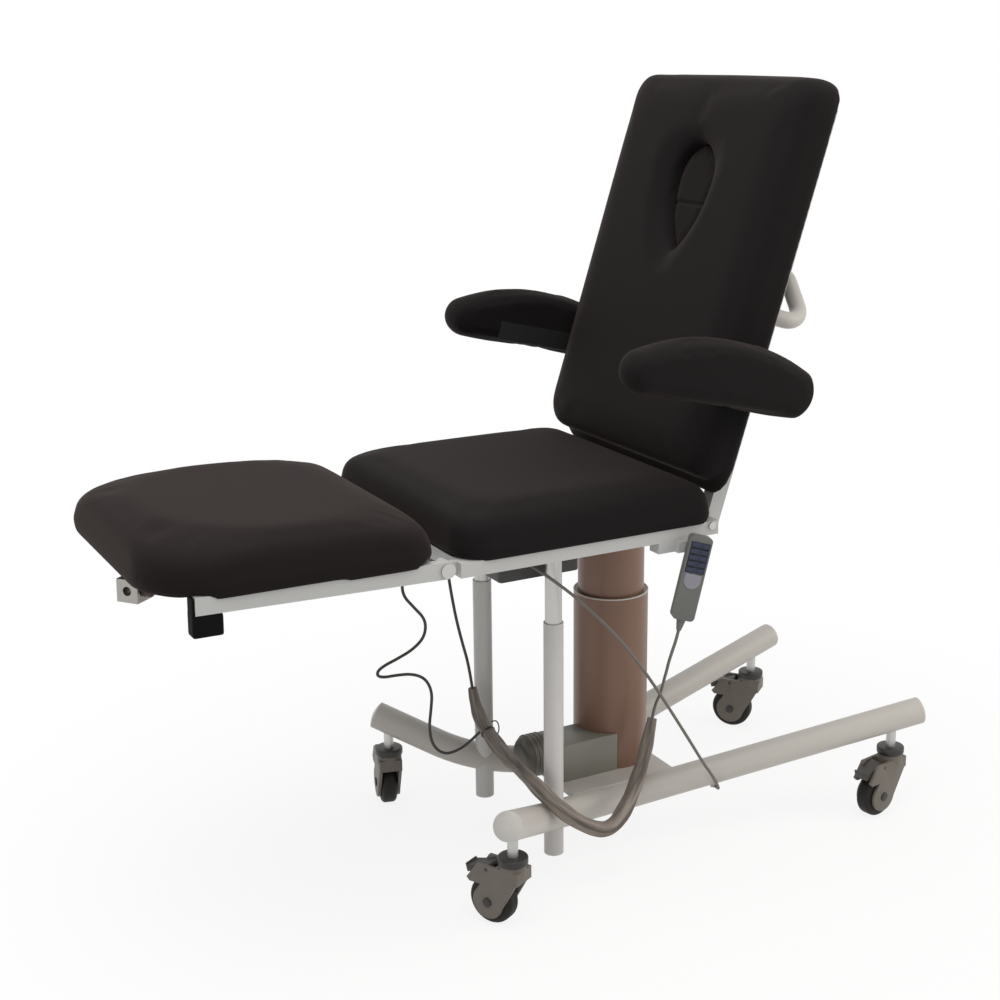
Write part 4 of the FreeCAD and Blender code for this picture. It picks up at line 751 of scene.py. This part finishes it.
# The paler cloth on the leg rest is painted light
pad("leg_cushion", "leg_section", lies_low(LEG, LEG_HELD), cloth=leg_lit_cloth, **LARGE_PAD)
back_cover = pad("back_cushion", "back_section", lies_low(BACK, BACK_HELD), **LARGE_PAD)

# %% The armrest pads and the face plug
PLUG_HELD = 0.010
ARM_PAD = {"voxel": 0.004, "shrink": 0.0005, "most": 0.003, "relaxed": 3}
PLUG_PAD = {"voxel": 0.003, "shrink": -0.0004, "most": 0.002, "relaxed": 3}
for side in ("left", "right"):
    pad(f"armrest_pad_{side}", f"arm_{side}", lambda point: False, **ARM_PAD)
plug_cover = pad("face_plug", "face_filler", lies_low(BACK, PLUG_HELD), **PLUG_PAD)

# %% [markdown]
# The back's cover is drawn down over the lower edge of its board, so that no light shows between it and the
# seat. The points of the rear lower edge slide down along the back, with a soft start.

# %% Lower edge of the back's cover
TAIL_DROP = 0.022
TAIL_TOP, TAIL_LENGTH = 0.150, 0.075
TAIL_FACE, TAIL_DEPTH = 0.018, 0.030
into_back = BACK.inverted()
down_the_back = BACK.to_3x3() @ Vector((-1.0, 0.0, 0.0))


def soft_step(value):
    """Nothing below 0, everything above 1 and a smooth rise between."""
    value = min(1.0, max(0.0, value))
    return value * value * (3.0 - 2.0 * value)


for point in back_cover.data.vertices:
    local = into_back @ point.co
    near_end = soft_step((TAIL_TOP - local.x) / TAIL_LENGTH)
    behind = soft_step((TAIL_FACE - local.z) / TAIL_DEPTH)
    point.co += down_the_back * TAIL_DROP * near_end * behind
reach = min((into_back @ point.co).x for point in back_cover.data.vertices)
print("back's cover starts", round(reach, 4), "m along the back")

# %% [markdown]
# The plug is sewn from two halves, so a seam crosses its face. The points near the seam are pulled in.

# %% Seam of the face plug
SEAM_AT, SEAM_REACH = 0.571, 0.007
SEAM_DEPTH = 0.004
SEAM_FACE = 0.015
inward = -(BACK.to_3x3() @ Vector((0.0, 0.0, 1.0)))
for point in plug_cover.data.vertices:
    local = into_back @ point.co
    near = 1.0 - abs(local.x - SEAM_AT) / SEAM_REACH
    if near > 0 and local.z > SEAM_FACE:
        point.co += inward * SEAM_DEPTH * near
print("seam at", SEAM_AT, "m along the back")

# %% [markdown]
# ## Rounded edges
# No moulding or bent sheet has a knife edge. These pieces are copies of their solids with every sharp edge
# rounded a little, so that each edge catches a line of light. A bevel that only takes sharp edges does this
# for all of them at once.

# %% Ease the edges of a solid
FLAT_EDGE, SHARP_EDGE, SMOOTH_EDGE = (math.radians(angle) for angle in (1, 35, 40))


def eased(node, body, material, radius):
    """A copy of a solid with its sharp edges rounded, in its place and finish."""
    piece = copy_of(node, f"{node}_eased")
    bpy.ops.object.mode_set(mode="EDIT")
    bpy.ops.mesh.select_all(action="SELECT")
    bpy.ops.mesh.dissolve_limited(angle_limit=FLAT_EDGE)
    bpy.ops.object.mode_set(mode="OBJECT")
    modify(piece, "BEVEL", width=radius, segments=2, limit_method="ANGLE", angle_limit=SHARP_EDGE)
    bpy.ops.object.shade_smooth_by_angle(angle=SMOOTH_EDGE)
    dress(piece, material)
    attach(piece, body)
    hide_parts(node)
    return piece


eased("lift_gearbox", "base", drive_coat, radius=0.004)
eased("control_box", "lift", housing_abs, radius=0.003)
eased("handset_shell", "lift", handset_abs, radius=0.003)
eased("foot_clamp", "leg_section", cast_zinc, radius=0.0025)
eased("clamp_knob", "knob", knob_plastic, radius=0.003)
for number in range(1, 6):
    eased(f"handset_key_{number}", f"key_{number}", key_rubber, radius=0.0005)
for corner in CORNERS:
    eased(f"caster_{corner}_brake_pedal", f"pedal_{corner}", pedal_nylon, radius=0.0012)

# %% [markdown]
# The feet under the leg rest are soft rubber mouldings with no straight edge left. A bevel can't be wider
# than their thin end plates, so they are remeshed finely and smoothed all over instead.

# %% Rubber feet
feet = copy_of("leg_bumpers", "leg_bumpers_rounded")
modify(feet, "REMESH", mode="VOXEL", voxel_size=0.0016, adaptivity=0.0)
modify(feet, "SMOOTH", factor=0.5, iterations=36)
bpy.ops.object.shade_smooth()
dress(feet, foot_rubber)
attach(feet, "leg_section")
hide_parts("leg_bumpers")
print("rubber feet:", len(feet.data.polygons), "faces")

# %% [markdown]
# The lifting motor is cooled by ribs round the front of its drum. One rib is a ring of thin round section,
# and the others are copies of it along the drum.

# %% Motor ribs
RIBS, RIB_PITCH = 4, 0.009
RIB_SECTION, RIB_SINK = 0.0018, 0.0002
FIRST_RIB = 0.016
motor_low, motor_high = (Vector(corner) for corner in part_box("lift_motor"))
drum_radius = (motor_high.y - motor_low.y) / 2
drum_middle = (motor_low + motor_high) / 2
bpy.ops.object.select_all(action="DESELECT")
bpy.ops.mesh.primitive_torus_add(major_segments=72, minor_segments=10, major_radius=drum_radius - RIB_SINK,
                                 minor_radius=RIB_SECTION, rotation=(0.0, math.pi / 2, 0.0),
                                 location=(motor_low.x + FIRST_RIB, drum_middle.y, drum_middle.z))
ribs = settle("motor_ribs")
modify(ribs, "ARRAY", count=RIBS, use_relative_offset=False, use_constant_offset=True,
       constant_offset_displace=(RIB_PITCH, 0.0, 0.0))
bpy.ops.object.shade_smooth()
dress(ribs, motor_coat)
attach(ribs, "base")
print("ribs:", RIBS, "on a drum of", round(drum_radius * 2, 3), "m")

# %% [markdown]
# ## Casters
# Each caster has a grey moulded fork with a dark collar round its top bearing and dark caps on its axle. The
# caps are part of the fork's solid, so their faces only get another finish.

# %% Caster frames
STEMS = {"front": (-0.37528, 0.27519), "rear": (0.54315, 0.24700)}
TURNS = {"front_left": 118, "rear_left": 190, "front_right": 75, "rear_right": 128}
AXLE = Vector((0.042, 0.0, 0.046))
CAP_RADIUS = 0.0095


def caster_frame(corner):
    """A caster's own axes: its stem at the origin, its wheel towards +X and the floor at zero."""
    end, side = corner.split("_")
    x, y = STEMS[end]
    turn = Matrix.Rotation(math.radians(TURNS[corner]), 4, "Z")
    return Matrix.Translation((x, -y if side == "left" else y, 0.0)) @ turn


print("front left stem at", [round(value, 3) for value in caster_frame("front_left").translation])

# %% Forks with dark caps
for corner in CORNERS:
    fork = eased(f"caster_{corner}_fork", f"fork_{corner}", fork_nylon, radius=0.0015)
    fork.data.materials.append(collar_nylon)
    into_caster = caster_frame(corner).inverted()
    offsets = [into_caster @ point.co - AXLE for point in fork.data.vertices]
    for face in fork.data.polygons:
        if all(math.hypot(offsets[index].x, offsets[index].z) < CAP_RADIUS for index in face.vertices):
            face.material_index = 1
print("capped forks:", len(CORNERS))

# %% Dark collars
COLLAR_RADIUS, COLLAR_DEPTH, COLLAR_HEIGHT = 0.0285, 0.015, 0.135
COLLAR_ROUNDING = 0.003
for corner in CORNERS:
    bpy.ops.object.select_all(action="DESELECT")
    bpy.ops.mesh.primitive_cylinder_add(vertices=64, radius=COLLAR_RADIUS, depth=COLLAR_DEPTH,
                                        location=caster_frame(corner) @ Vector((0.0, 0.0, COLLAR_HEIGHT)))
    collar = settle(f"caster_{corner}_collar")
    modify(collar, "BEVEL", width=COLLAR_ROUNDING, segments=3, limit_method="ANGLE", angle_limit=SMOOTH_EDGE)
    bpy.ops.object.shade_smooth_by_angle(angle=SMOOTH_EDGE)
    dress(collar, collar_nylon)
    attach(collar, f"fork_{corner}")
print("collars:", len(CORNERS))

# %% [markdown]
# ## Small parts
# A thin ring on the rim of the column's lower tube is pale, which paints a highlight along the rim. A blank
# half-round film sits under the handset's keys. It starts as a thin cylinder, and the upper half of its rim
# is set to one level, which gives a straight top.

# %% Column ring
RING_RADIUS, RING_SECTION, RING_HEIGHT = 0.0742, 0.0016, 0.5115
bpy.ops.object.select_all(action="DESELECT")
bpy.ops.mesh.primitive_torus_add(major_segments=96, minor_segments=12, major_radius=RING_RADIUS,
                                 minor_radius=RING_SECTION, location=(0.0, 0.0, RING_HEIGHT))
ring = settle("column_rim_highlight_ring")
bpy.ops.object.shade_smooth()
# The ring's pale plastic is a painted highlight on the column's rim
dress(ring, cap_plastic)
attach(ring, "base")
print("ring at", RING_HEIGHT, "m")

# %% Handset film
HANDSET_AT = (-0.019, -0.305875, 0.628)
HANDSET_LEAN, HANDSET_TURN = math.radians(15), math.radians(-25)
HANDSET = (Matrix.Translation(HANDSET_AT) @ Matrix.Rotation(HANDSET_LEAN, 4, "Y")
           @ Matrix.Rotation(HANDSET_TURN, 4, "Z"))
FILM_RADIUS, FILM_THICKNESS, FILM_ROUNDING = 0.0155, 0.0012, 0.0004
FILM_TOP, ABOVE_MIDDLE = 0.012, 0.0001
FILM_PLACE = (0.0, -0.0262, -0.004)
bpy.ops.object.select_all(action="DESELECT")
bpy.ops.mesh.primitive_cylinder_add(vertices=48, radius=FILM_RADIUS, depth=FILM_THICKNESS,
                                    rotation=(math.pi / 2, 0.0, 0.0))
film = settle("handset_film")
for point in film.data.vertices:
    if point.co.z > ABOVE_MIDDLE:
        point.co.z = FILM_TOP
modify(film, "BEVEL", width=FILM_ROUNDING, segments=2, limit_method="ANGLE", angle_limit=SMOOTH_EDGE)
film.data.transform(HANDSET @ Matrix.Translation(FILM_PLACE))
dress(film, label_film)
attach(film, "lift")
print("film:", [round(side, 4) for side in film.dimensions])
